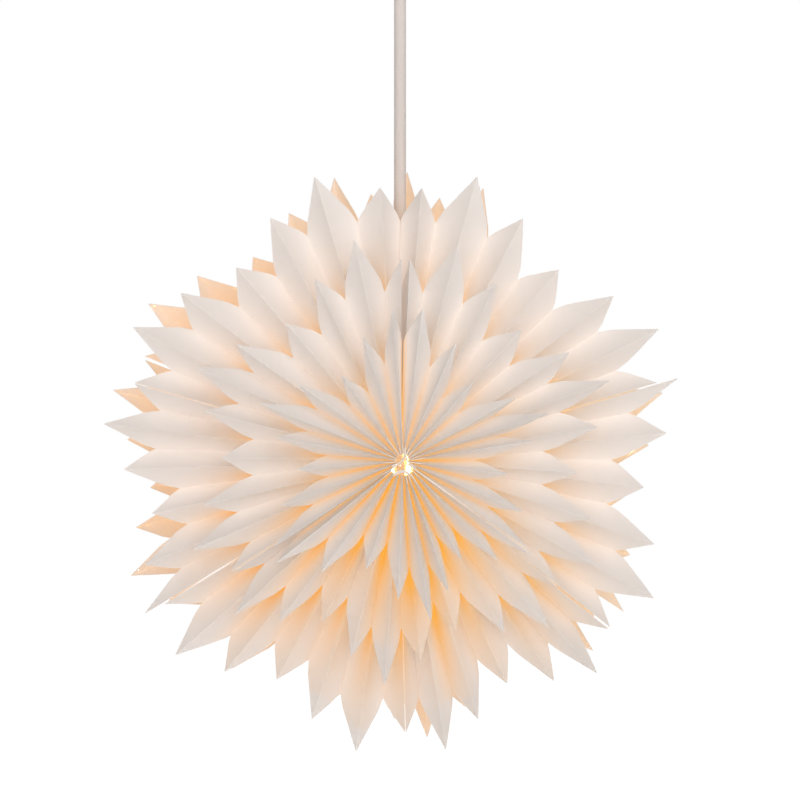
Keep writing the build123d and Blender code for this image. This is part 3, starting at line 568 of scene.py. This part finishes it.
# Yarn colour, with painted shade in the gaps between the yarns.
yarn = mix_colours(tree, weave_share.outputs["Result"], GAP_SHADE_COLOUR, fuzz.outputs["Color"])
link(tree, yarn, shader.inputs["Base Color"])
shader.inputs["Roughness"].default_value = 0.9
shader.inputs["Sheen Weight"].default_value = 0.35
shader.inputs["Sheen Roughness"].default_value = 0.5
hairs = math_node(tree, "MULTIPLY", fuzz.outputs["Height"], 0.5)
jacket = math_node(tree, "ADD", weave_share.outputs["Result"], hairs)
add_bump(tree, shader, jacket, 0.2, GRAIN_HEIGHT)
flex_curve.materials.append(textile)
dress(flex, "flex")

# %% [markdown]
# ## How the star is folded
#
# Each half of the star is three tiers of fans, and each fan is one strip of paper folded
# to and fro.  All folds point to the star's centre.  A ridge ends in a leaf-shaped point
# and a valley in a notch.  The points step through three lengths, long, medium, short.
# A fan spreads like an accordion: its panels keep their width, so where the fan is wider
# it is also shallower.  The same few numbers that shaped the solids shape the paper here.

# %% The star's numbers, in millimetres
STAR_CENTRE = Vector((-3.9, 0, -345)) * MM
BACK_TURN = math.radians(4.6)
PAPER_THICK = 0.35
NOTCH_DEPTH = 18.5
SHOULDER_HIGH = 23.5
SHOULDER_LOW = 14.0
SHOULDER_AT = 0.8
FOLD_MARGIN = 3.0


class Tier:
    """One ring of fans: the radii of its points, where it starts and how deep it is."""

    def __init__(self, name, long, medium, short, start, ridge_in, ridge_out, panel):
        self.name = name
        self.reach = {"L": long, "M": medium, "S": short}
        self.start = start
        self.end = long + FOLD_MARGIN
        self.ridge_in = ridge_in
        self.ridge_out = ridge_out
        self.panel = panel

    def ridge(self, radius):
        """How far a ridge stands in front of the star's middle plane."""
        share = (radius - self.start) / (self.end - self.start)
        return self.ridge_in + share * (self.ridge_out - self.ridge_in)

    def drop(self, radius, half_step):
        """From ridge to valley: the panels keep their width as the fan spreads."""
        chord = 2 * radius * math.sin(half_step / 2)
        return math.sqrt(self.panel**2 - chord**2)


INNER = Tier("inner", 85.3, 72.0, 58.7, 4.0, 82.0, 80.0, 20.5)
MID = Tier("mid", 126.4, 113.0, 100.2, 37.0, 60.2, 58.0, 21.0)
OUTER = Tier("outer", 167.7, 155.2, 142.3, 80.0, 38.6, 33.0, 21.0)

# Each fan: tier, the order of its points, its slip outwards, and the angles of its folds:
# valley, ridge, valley, and so on.  None stands for a valley that the fan lacks.
FANS = {
    "inner_left": (INNER, "LMSMLMSML", 0.0, [
        89.6, 93.9, 99.6, 108, 115.6, 125.9, 132.7, 143.6, 148.7, 158.1, 162.6, 169.25, 176,
        184.4, 192.3, 200, 206.4, 213.2, 215.8,
    ]),
    "inner_lower": (INNER, "LMSMLMSML", 4.3, [
        216.1, 218.5, 226.6, 233.4, 243.2, 251, 260.4, 267.9, 274.5, 279.9, 284.5, 289.25,
        295.1, 300.75, 307.4, 313.6, 319, 324, None,
    ]),
    "inner_right": (INNER, "LMSMLMSML", 0.0, [
        None, 324.9, 332, 337.2, 344.9, 352.8, 360.3, 368.9, 374.1, 378.1, 385.4, 389.4, 399.9,
        408.3, 416.4, 425.9, 432.9, 442.8, 448.6,
    ]),
    "mid_left": (MID, "MLMSMLMSMLM", 0.0, [
        88.9, 89.8, 94.6, 101.9, 108.4, 115.3, 121.5, 129.9, 135.9, 144.9, 149, 155.5, 160.6,
        165.75, 171.9, 179.1, 186, 192.6, 197.9, 203.2, 208.8, 212.93, None,
    ]),
    "mid_lower": (MID, "MLMSMLMSMLM", 0.0, [
        None, 213.57, 217.7, 222.8, 228.2, 232.9, 238.7, 244.1, 249.7, 255.75, 260.9, 265.9, 271,
        275.75, 283.7, 288, 295, 301.25, 306.6, 311.6, 317.7, 321.18, None,
    ]),
    "mid_right": (MID, "MLMSMLMSMLM", 0.0, [
        None, 321.82, 327.1, 331.75, 338.1, 343, 350.1, 355.9, 363.2, 369.5, 376.3, 380.75,
        386.8, 392.5, 400.2, 407, 414.7, 421.25, 427.6, 434.9, 441.7, 447.3, 448.75,
    ]),
    "outer_upper_left": (OUTER, "MLMSMLM", 0.0, [
        88.95, 93.7, 99.3, 106.4, 111.6, 117.8, 123.2, 130.1, 135.9, 142.5, 147.5, 153.4, 158.4,
        163.65, None,
    ]),
    "outer_left": (OUTER, "MLMSML", 0.0, [
        None, 163.85, 168.3, 173, 177.5, 182, 187.6, 192.25, 197.2, 202.5, 206.9, 211.25, None,
    ]),
    "outer_lower_left": (OUTER, "MLMSMLM", 0.0, [
        None, 211.7, 216.5, 221.25, 226.7, 230.75, 236.4, 241.1, 246.5, 251.7, 256.7, 261.9,
        267, 271.6, None,
    ]),
    "outer_lower_right": (OUTER, "MLMSMLM", 0.0, [
        None, 271.8, 275.6, 279.5, 283.9, 287.3, 292.2, 296.1, 301.2, 305.3, 309.7, 313.1,
        317.5, 321.25, None,
    ]),
    "outer_right": (OUTER, "MLMSML", 0.0, [
        None, 321.8, 326.9, 331.6, 337.4, 341.75, 348, 353.5, 359.7, 365.5, 371, 376, None,
    ]),
    "outer_upper_right": (OUTER, "MLMSMLM", 0.0, [
        None, 376.4, 381.7, 386.4, 392, 397, 403.4, 409.6, 415.8, 422.4, 427.5, 434.2, 440.4,
        444.9, 448.75,
    ]),
}

# The back's outer fans, as seen from the front.  They show between the front's points.
BACK_OUTER = {
    "outer_upper_left": (OUTER, "MLMSMLM", 1.0, [
        90.2, 94, 97.6, 101.2, 106.8, 112.4, 118.3, 124.3, 130.5, 136.7, 142.1, 147.5, 152.5,
        157.5, None,
    ]),
    "outer_left": (OUTER, "MLMSMLM", 0.0, [
        None, 158.3, 162.3, 166.3, 171.2, 176.1, 181.6, 187.2, 191.3, 195.4, 199.9, 204.5,
        208.8, 213, None,
    ]),
    "outer_lower_left": (OUTER, "MLMSMLM", 0.0, [
        None, 213.6, 218.3, 223.1, 228.2, 233.3, 238.4, 243.4, 248.8, 254.1, 259.1, 264.1,
        267.6, 271.2, None,
    ]),
    "outer_lower_right": (OUTER, "MLMSMLM", 0.0, [
        None, 271.6, 274.6, 277.7, 282.4, 287, 292.1, 297.3, 302.4, 307.5, 312, 316.5, 319.2,
        322, 326.2,
    ]),
    "outer_right": (OUTER, "LMSML", 0.0, [
        None, 326.6, 332.2, 337.9, 344, 350.2, 356.4, 362.5, 367.8, 373.1, 375.6,
    ]),
    "outer_upper_right": (OUTER, "MLMSMLML", 1.5, [
        None, 376.1, 380.9, 385.7, 390.9, 396, 402.1, 408.3, 414.6, 420.9, 425.8, 430.7, 434.9,
        439, 442.7, 446.4, 449.5,
    ]),
}
print("fans in one half:", len(FANS))

# %% [markdown]
# ## One panel of paper
#
# A panel lies between a ridge and a valley.  It starts as a flat grid and every point of
# the grid is moved to its place on the folded panel.  Real paper is never quite flat
# between two folds, so the panel bows a little, and each one by its own amount.  The bow fades
# towards the cut edge, which keeps the leaf's outline crisp.  That edge runs nearly
# straight from the point to a shoulder, and then steeply down into the notch.

# %% The cut edge of a panel
COLUMNS = (
    0.0, 0.012, 0.05, 0.14, 0.27, 0.41, 0.55, 0.67, 0.77, 0.80, 0.83, 0.88, 0.93, 0.97, 0.99, 1.0,
)
ROWS = 18
CORNER_CUT = 0.3


def cut_edge(across, tip, neighbour, slip):
    """Radius of the cut edge at a share of the way from the ridge to the valley."""
    shoulder = tip - (SHOULDER_HIGH if tip > neighbour else SHOULDER_LOW)
    notch = min(tip, neighbour) - NOTCH_DEPTH
    start, end = (0.0, tip), (SHOULDER_AT, shoulder)
    if across > SHOULDER_AT:
        start, end = end, (1.0, notch)
    high, low = start[1] + slip, end[1] + slip
    slope = (end[0] * low - start[0] * high) / (high - low)
    radius = (start[0] * high + slope * high) / (across + slope)
    if across == SHOULDER_AT:
        radius -= CORNER_CUT
    return radius - slip


longest, next_one = INNER.reach["L"], INNER.reach["M"]
edge = cut_edge(SHOULDER_AT, longest, next_one, 0.0)
print("long point's edge at the shoulder:", round(edge, 2))


# %% One panel, from a grid
BOW_LEAST = 0.1
BOW_MOST = 0.5
WAVE_MOST = 0.25
WAVE_RATE = 5
BOW_AT_EDGE = 0.2


def panel(tier, slip, angle, step, opening, side, tip, neighbour, rng):
    """A grid folded to the place of one panel of a fan."""
    bpy.ops.object.select_all(action="DESELECT")
    bpy.ops.mesh.primitive_grid_add(x_subdivisions=len(COLUMNS) - 1, y_subdivisions=ROWS, size=2)
    piece = bpy.context.object
    along = Vector((math.cos(angle), 0, math.sin(angle)))
    across_way = Vector((-math.sin(angle), 0, math.cos(angle))) * side
    front = Vector((0, -1, 0))
    bow = rng.uniform(BOW_LEAST, BOW_MOST) * rng.choice((-1, 1, 1))
    wave = rng.uniform(-WAVE_MOST, WAVE_MOST)
    for vertex in piece.data.vertices:
        column = round((vertex.co.x + 1) / 2 * (len(COLUMNS) - 1))
        across = COLUMNS[column]
        share = (vertex.co.y + 1) / 2
        edge = cut_edge(across, tip, neighbour, slip)
        radius = tier.start + share * (edge - tier.start)
        spread = across * (radius + slip) * math.tan(step)
        drop = tier.drop(radius, opening)
        height = tier.ridge(radius) - across * drop
        swell = math.sin(math.pi * across) * (bow + wave * math.cos(WAVE_RATE * share))
        swell *= BOW_AT_EDGE + (1 - BOW_AT_EDGE) * math.sin(math.pi * share)
        tilt = math.hypot(drop, (radius + slip) * math.tan(step))
        spread += swell * drop / tilt
        height += swell * (radius + slip) * math.tan(step) / tilt
        spot = along * (radius + slip) + across_way * spread + front * height
        vertex.co = STAR_CENTRE + spot * MM
    return piece


print("points in one panel:", len(COLUMNS) * (ROWS + 1))

# %% [markdown]
# ## The strips round the centre
#
# At the star's centre the pleats are pinched together.  The outermost panels of each
# inner fan run on past the centre as a narrow strip, from one seam to the other.  The two
# upper strips make a Y, and the lower one is a small arch.  Each strip is a plane, cut
# into short steps and laid along a line of points.  The paper is doubled and glued there,
# so no light soaks through; each point of a strip keeps that as an attribute.

# %% One strip, from a plane
STRIPS = {
    "paper_front_inner_left": (
        [(0.15, 7.0), (0.2, 5.6), (0.25, 4.4), (0.25, 3.4), (0.05, 2.2), (-0.6, 1.1), (-1.5, 0.1),
         (-2.8, -0.9), (-4.6, -1.9), (-6.4, -2.8)],
        [(0.7, 7.0), (0.75, 5.6), (0.75, 4.4), (0.75, 3.2), (0.6, 1.8), (0.0, 0.5), (-0.9, -0.6),
         (-2.3, -1.6), (-4.2, -2.6), (-6.1, -3.5)],
        (82.6, 81.4),
    ),
    "paper_front_inner_lower": (
        [(-5.9, -7.2), (-4.6, -6.3), (-3.2, -5.5), (-1.6, -4.95), (0.1, -4.8), (1.8, -5.5),
         (3.4, -6.7), (4.9, -8.0)],
        [(-5.4, -8.3), (-4.1, -7.5), (-2.7, -6.8), (-1.0, -6.3), (0.8, -6.3), (2.4, -7.1),
         (3.9, -8.2), (5.3, -9.4)],
        (82.4, 81.0),
    ),
    "paper_front_inner_right": (
        [(0.8, 7.0), (0.85, 5.6), (0.85, 4.4), (0.9, 3.4), (1.1, 2.1), (1.5, 1.0), (2.1, 0.0),
         (3.2, -1.5), (5.0, -3.2), (6.8, -4.7)],
        [(1.3, 7.0), (1.35, 5.6), (1.35, 4.6), (1.4, 3.6), (1.6, 2.5), (2.0, 1.5), (2.6, 0.5),
         (3.7, -1.0), (5.5, -2.7), (7.2, -4.1)],
        (82.6, 81.4),
    ),
}


def strip(front_line, back_line, heights):
    """A narrow band of paper between two lines of points round the centre."""
    steps = len(front_line) - 1
    bpy.ops.object.select_all(action="DESELECT")
    bpy.ops.mesh.primitive_grid_add(x_subdivisions=steps, y_subdivisions=1, size=2)
    piece = bpy.context.object
    for vertex in piece.data.vertices:
        index = round((vertex.co.x + 1) / 2 * steps)
        in_front = vertex.co.y > 0
        line = front_line if in_front else back_line
        height = heights[0] if in_front else heights[1]
        spot = Vector((line[index][0], -height, line[index][1]))
        vertex.co = STAR_CENTRE + spot * MM
    layer = piece.data.attributes.new("doubled", "FLOAT", "POINT")
    layer.data.foreach_set("value", [1.0] * len(piece.data.vertices))
    return piece


print("strips round the centre:", len(STRIPS))

# %% [markdown]
# ## Where the lamp's light reaches the paper
#
# The bulb's light slips out below every notch and washes over the paper behind it, in a
# band that widens and fades.  It also soaks through the narrow folds near the centre, it
# comes out along the seam at the top, and it falls straight on the inner faces.  Below
# the centre it reaches furthest.  The doubled strips only catch a little of it.
#
# A second, neutral light is the room's own: white panels pass it on to each other, so
# the deep folds aren't black.  Each point of the paper keeps both lights as attributes
# that the finish reads.

# %% Two measures of place
SEAM_ANGLE = math.radians(89.1)
DOWN_POWER = 1.6


def clamp(value):
    """Keep a value between 0 and 1."""
    return min(1.0, max(0.0, value))


def downward(angle):
    """1 straight below the centre, 0 beside and above it."""
    return max(0.0, -math.sin(angle)) ** DOWN_POWER


def place_on_fan(spot, slip):
    """Radius and angle of one point, with the fan's slip outwards taken off."""
    return max(0.1, math.hypot(spot.x, spot.z) - slip), math.atan2(spot.z, spot.x)


print("downward at 30 degrees below level:", round(downward(math.radians(-30)), 2))

# %% The notches of a tier
NOTCH_LIGHT = 0.86
LESS_ABOVE = 0.20
MORE_BELOW = 0.46
MID_LESS = 0.06
MID_LESS_BELOW = 0.12
LIGHT_SPREAD = (0.85, 1.12)


def notches(tier):
    """Angle and radius of every notch of one tier, and how much light comes out of it."""
    found = []
    rng = random.Random(tier.name)
    for fan_tier, points, slip, folds in FANS.values():
        if fan_tier is not tier:
            continue
        for index, valley in enumerate(folds[2:-1:2]):
            angle = math.radians(valley)
            short = min(tier.reach[points[index]], tier.reach[points[index + 1]])
            light = NOTCH_LIGHT - LESS_ABOVE * clamp(math.sin(angle))
            light += MORE_BELOW * downward(angle)
            if tier is MID:
                light -= MID_LESS + MID_LESS_BELOW * downward(angle)
            light *= rng.uniform(*LIGHT_SPREAD)
            found.append((angle, short - NOTCH_DEPTH + slip, light))
    return found


NOTCHES = {"mid": notches(INNER), "outer": notches(MID)}
print("notches in front of the mid tier:", len(NOTCHES["mid"]))


# %% How much of the lamp's light one point gets
FULL_DEPTH = 20.0
FOLD_GLOW = 0.03
INSIDE_GLOW = 0.3
OUTER_INSIDE = 0.26
OUTER_INSIDE_MORE = 0.16
OUTER_INSIDE_REACH = 45.0
LOW_SIDE_MORE = 0.30
HUB_LEAST = 0.02
HUB_GLOW = 1.45
HUB_POWER = 2.3
HUB_REACH = 26.0
BELOW_GLOW = 0.30
BELOW_RADIUS = 50.0
SEAM_GLOW = 0.5
SEAM_WIDTH = 1.2


def inner_glow(radius, angle, depth):
    """Inner fans: light soaks through round the centre, below it and along the seam."""
    low = 1.0 - LOW_SIDE_MORE * math.sin(angle)
    near = math.exp(-(radius - INNER.start) / HUB_REACH)
    glow = low * (HUB_LEAST + HUB_GLOW * depth**HUB_POWER) * near + FOLD_GLOW * depth**2
    glow += BELOW_GLOW * downward(angle) * depth**3 * min(1.0, radius / BELOW_RADIUS)
    seam = radius * math.sin(angle - SEAM_ANGLE)
    return glow + SEAM_GLOW * depth**2 * math.exp(-((seam / SEAM_WIDTH) ** 2))


# %% The washes below the notches
WASH_LENGTH = 10.5
WASH_BELOW = 19.0
WASH_WIDTH = 2.2
WASH_SPREAD = 0.17
WASH_ASIDE = 12.0
WASH_AWAY = 60.0


def washes(tier, radius, angle, depth):
    """Middle and outer fans: the light of all notches that lie in front of this point."""
    glow = FOLD_GLOW * depth**2
    for notch_angle, notch_radius, light in NOTCHES[tier.name]:
        off = angle - notch_angle
        away = radius * math.cos(off) - notch_radius
        aside = radius * math.sin(off)
        if math.cos(off) < 0 or abs(aside) > WASH_ASIDE or away > WASH_AWAY:
            continue
        away = max(0.0, away)
        width = WASH_WIDTH + WASH_SPREAD * away
        length = WASH_LENGTH + WASH_BELOW * downward(angle)
        glow += light * math.exp(-away / length) * math.exp(-((aside / width) ** 2))
    return glow


def glow_at(tier, slip, turn, spot, lamp_side):
    """The lamp's light at one point of a fan, from 0 to 1."""
    radius, angle = place_on_fan(spot, slip)
    angle += turn
    if lamp_side and tier is OUTER:
        return OUTER_INSIDE + OUTER_INSIDE_MORE * clamp((tier.end - radius) / OUTER_INSIDE_REACH)
    if lamp_side:
        return INSIDE_GLOW
    depth = clamp((tier.ridge(radius) + spot.y) / FULL_DEPTH)
    if tier is INNER:
        return min(1.0, inner_glow(radius, angle, depth))
    return min(1.0, washes(tier, radius, angle, depth))


first_angle, first_radius, _ = NOTCHES["mid"][0]
print("glow just under a notch:", round(washes(MID, first_radius, first_angle, 0.0), 2))

# %% How much of the room's light the panels pass on
SOFT_DEPTH = 18.0
SOFT_LEAST = 0.12
SOFT_LESS_BELOW = 0.75
SOFT_LESS_AT_HUB = 0.45
SOFT_HUB_REACH = 28.0
SOFT_SEAM_REACH = 5.0


def soft_at(tier, slip, spot, lamp_side):
    """The room light that white panels pass on to each other: most in the deep folds."""
    if lamp_side:
        return 1.0
    radius, angle = place_on_fan(spot, slip)
    depth = clamp((tier.ridge(radius) + spot.y) / SOFT_DEPTH)
    share = SOFT_LEAST + (1 - SOFT_LEAST) * depth
    share *= 1 - SOFT_LESS_BELOW * downward(angle)
    if tier is INNER:
        share *= 1 - SOFT_LESS_AT_HUB * math.exp(-radius / SOFT_HUB_REACH)
        seam = radius * math.sin(angle - SEAM_ANGLE)
        beside_seam = math.exp(-((seam / SOFT_SEAM_REACH) ** 2))
        share += depth * beside_seam * max(0.0, spot.z) / radius
    return share


# %% Write both lights onto a finished fan
STRIP_GLOW = 0.16


def keep_glow(piece, tier, slip, turn):
    """Store both lights on each vertex; the Solidify step doubled every vertex."""
    mesh = piece.data
    half = len(mesh.vertices) // 2
    glows = [0.0] * len(mesh.vertices)
    softs = [0.0] * len(mesh.vertices)
    strips = mesh.attributes.get("doubled")
    for index in range(half):
        twin = index + half
        if strips and strips.data[index].value > 0.5:
            glows[index] = glows[twin] = STRIP_GLOW
            continue
        first = (mesh.vertices[index].co - STAR_CENTRE) / MM
        second = (mesh.vertices[twin].co - STAR_CENTRE) / MM
        in_front = first.y < second.y
        for place, spot, hidden in ((index, first, not in_front), (twin, second, in_front)):
            glows[place] = glow_at(tier, slip, turn, spot, hidden)
            softs[place] = soft_at(tier, slip, spot, hidden)
    for name, values in (("lamp_glow", glows), ("soft_light", softs)):
        layer = mesh.attributes.new(name, "FLOAT", "POINT")
        layer.data.foreach_set("value", values)


print("glow of a doubled strip:", STRIP_GLOW)

# %% [markdown]
# ## A whole fan
#
# The panels are joined, their shared fold points merged, and the sheet gets its thickness
# with a Solidify modifier.  Then its points get their light.  Faces that meet at a fold
# stay crisp, while a bowed panel is shaded smoothly.

# %% The panels of one fan
def folded_panels(tier, points, slip, folds, rng):
    """One panel on each side of every ridge that has a valley there."""
    ridges = folds[1::2]
    panels = []
    for index, ridge in enumerate(ridges):
        tip = tier.reach[points[index]]
        for side in (-1, 1):
            valley = folds[2 * index + 1 + side]
            if valley is None:
                continue
            step = opening = math.radians(abs(valley - ridge))
            other = tip
            if 0 <= index + side < len(ridges):
                opening = math.radians(abs(ridges[index + side] - ridge)) / 2
                other = tier.reach[points[index + side]]
            angle = math.radians(ridge)
            panels.append(panel(tier, slip, angle, step, opening, side, tip, other, rng))
    return panels


print("ridges in one inner fan:", len(FANS["inner_left"][3][1::2]))

# %% One fan
MERGE_WITHIN = 0.00004
CRISP_ANGLE = math.radians(22)


def fan(name, tier, points, slip, folds, turn=0.0):
    """All panels of one sheet, joined and thickened; turn is the twist of the half's notches."""
    panels = folded_panels(tier, points, slip, folds, random.Random(name))
    if name in STRIPS:
        panels.append(strip(*STRIPS[name]))
    bpy.ops.object.select_all(action="DESELECT")
    for piece in panels:
        piece.select_set(True)
    bpy.context.view_layer.objects.active = panels[0]
    bpy.ops.object.join()
    piece = bpy.context.object
    bpy.ops.object.mode_set(mode="EDIT")
    bpy.ops.mesh.select_all(action="SELECT")
    bpy.ops.mesh.remove_doubles(threshold=MERGE_WITHIN)
    bpy.ops.mesh.normals_make_consistent(inside=False)
    bpy.ops.object.mode_set(mode="OBJECT")
    thick = piece.modifiers.new("thick", "SOLIDIFY")
    thick.thickness = PAPER_THICK * MM
    thick.offset = 0
    bpy.ops.object.modifier_apply(modifier="thick")
    keep_glow(piece, tier, slip, turn)
    bpy.ops.object.shade_smooth_by_angle(angle=CRISP_ANGLE)
    return settle(piece, name, paper)


print("paper is", PAPER_THICK, "mm thick")

# %% [markdown]
# ## The back half
#
# The back is folded from the same kind of strips, mirrored through the star's middle.
# Its inner and middle fans are the front's twins, turned by about half a fold.  Its outer
# fans have folds of their own, because their points peep out between the front's.


# %% Fold all fans and their twins behind
def move_behind(piece, turn):
    """Mirror a fan to the back and turn it about the star's axis."""
    piece.data.transform(
        Matrix.Translation(STAR_CENTRE)
        @ Matrix.Rotation(turn, 4, "Y")
        @ Matrix.Scale(-1, 4, (0, 1, 0))
        @ Matrix.Translation(-STAR_CENTRE)
    )
    piece.data.flip_normals()


faces = 0
for name, folding in FANS.items():
    front_fan = fan("paper_front_" + name, *folding)
    if name in BACK_OUTER:
        back_fan = fan("paper_back_" + name, *BACK_OUTER[name], BACK_TURN)
        move_behind(back_fan, 0)
    else:
        back_fan = front_fan.copy()
        back_fan.data = front_fan.data.copy()
        bpy.context.scene.collection.objects.link(back_fan)
        back_fan.name = "paper_back_" + name
        back_fan.data.name = back_fan.name
        move_behind(back_fan, BACK_TURN)
    dress(front_fan, "front_" + name)
    dress(back_fan, "back_" + name)
    faces += len(front_fan.data.polygons) + len(back_fan.data.polygons)
print("faces of folded paper:", faces)

# %% [markdown]
# ## Finishes on the solids that stay
#
# The other solids already have their real shape, so they only need their finish.

# %% Assign the finishes
FINISHES = {
    card: ["spine_card_left", "spine_card_right", "holder_plate"],
    holder_white: ["holder_cap", "cord_grip", "holder_sleeve", "clamp_front", "clamp_back"],
    porcelain: ["holder_insert"],
    brass: ["holder_terminal_screws", "screw_shell", "centre_contact", "block_screws"],
    spring_steel: ["contact_spring", "filament_wires"],
    zinc: ["ceiling_strap", "strap_hook", "hook_nut", "hanger_ring", "clamp_screws", "grip_screw"],
    globe_glass: ["bulb_glass"],
    stem_glass: ["bulb_stem"],
    cap_metal: ["bulb_cap", "bulb_contact"],
    black_glass: ["bulb_insulator"],
    filament_glow: ["filaments"],
    lead_brown: ["block_leads", "holder_leads"],
    block_white: ["terminal_block"],
    cup_white: ["ceiling_cup", "cup_collar", "cup_thumbscrew"],
}

for material, names in FINISHES.items():
    for name in names:
        node = frame["nodes"][name]
        node.data.materials.clear()
        node.data.materials.append(material)
print("solids finished:", sum(len(names) for names in FINISHES.values()))

# %% [markdown]
# ## The room
#
# The lamp hangs over a pale floor in a pale room.  One large soft light stands at the
# upper right, a second one faces the star, a third one lights its back from above, and
# the pale surroundings fill the rest.

# %% Floor and backdrop
FLOOR_Z = -0.75
FLOOR_ACROSS = 12.0
FLOOR_GLOW = 1.1
FLOOR_GLOW_SEEN = 0.9

bpy.ops.object.select_all(action="DESELECT")
bpy.ops.mesh.primitive_plane_add(size=FLOOR_ACROSS, location=(0, 0, FLOOR_Z))
sweep = bpy.context.object
print("floor at", FLOOR_Z)

sweep_finish, tree, shader, output = new_finish("pale_floor")
fibre = add_group(
    tree,
    fibre_group,
    Light=(0.97, 0.97, 0.97, 1),
    Dark=(0.94, 0.94, 0.94, 1),
    Size=60.0,
)
link(tree, fibre.outputs["Color"], shader.inputs["Base Color"])
shader.inputs["Roughness"].default_value = 0.9
white = tree.nodes.new("ShaderNodeEmission")
white.inputs["Strength"].default_value = FLOOR_GLOW
rays = tree.nodes.new("ShaderNodeLightPath").outputs
seen = math_node(tree, "MULTIPLY", rays["Is Camera Ray"], FLOOR_GLOW_SEEN)
mix_shaders(tree, output, seen, shader.outputs["BSDF"], white.outputs["Emission"])
settle(sweep, "pale_floor", sweep_finish)


# %% Lights
STUDIO_WHITE = (1.0, 0.985, 0.975)


def studio_light(name, spot, across, power):
    """A large soft light that faces the star."""
    data = bpy.data.lights.new(name, "AREA")
    data.size = across
    data.energy = power
    data.color = STUDIO_WHITE
    light = bpy.data.objects.new(name, data)
    bpy.context.scene.collection.objects.link(light)
    light.location = spot
    light.rotation_euler = (STAR_CENTRE - Vector(spot)).to_track_quat("-Z", "Y").to_euler()


studio_light("key_light", (1.0, -2.2, 0.7), 1.4, 17)
studio_light("front_light", (-0.4, -2.5, -0.2), 1.5, 26.5)
studio_light("back_light", (-0.8, 2.1, 1.5), 1.3, 34)
print("lights:", [light.name for light in bpy.data.lights])

# %% The pale room round the lamp
ROOM_LIGHT = 0.33

world = bpy.data.worlds.new("pale_room")
bpy.context.scene.world = world
world.use_nodes = True
tree = world.node_tree
background = tree.nodes["Background"]
background.inputs["Color"].default_value = (1, 1, 1, 1)
rays = tree.nodes.new("ShaderNodeLightPath").outputs
seen_more = math_node(tree, "MULTIPLY", rays["Is Camera Ray"], 1.0 - ROOM_LIGHT)
strength = math_node(tree, "ADD", seen_more, ROOM_LIGHT)
link(tree, strength, background.inputs["Strength"])
bpy.context.scene.view_settings.view_transform = "Standard"
bpy.context.scene.view_settings.look = "None"
print("room light", ROOM_LIGHT)

# %% Finish
print("scene set up")
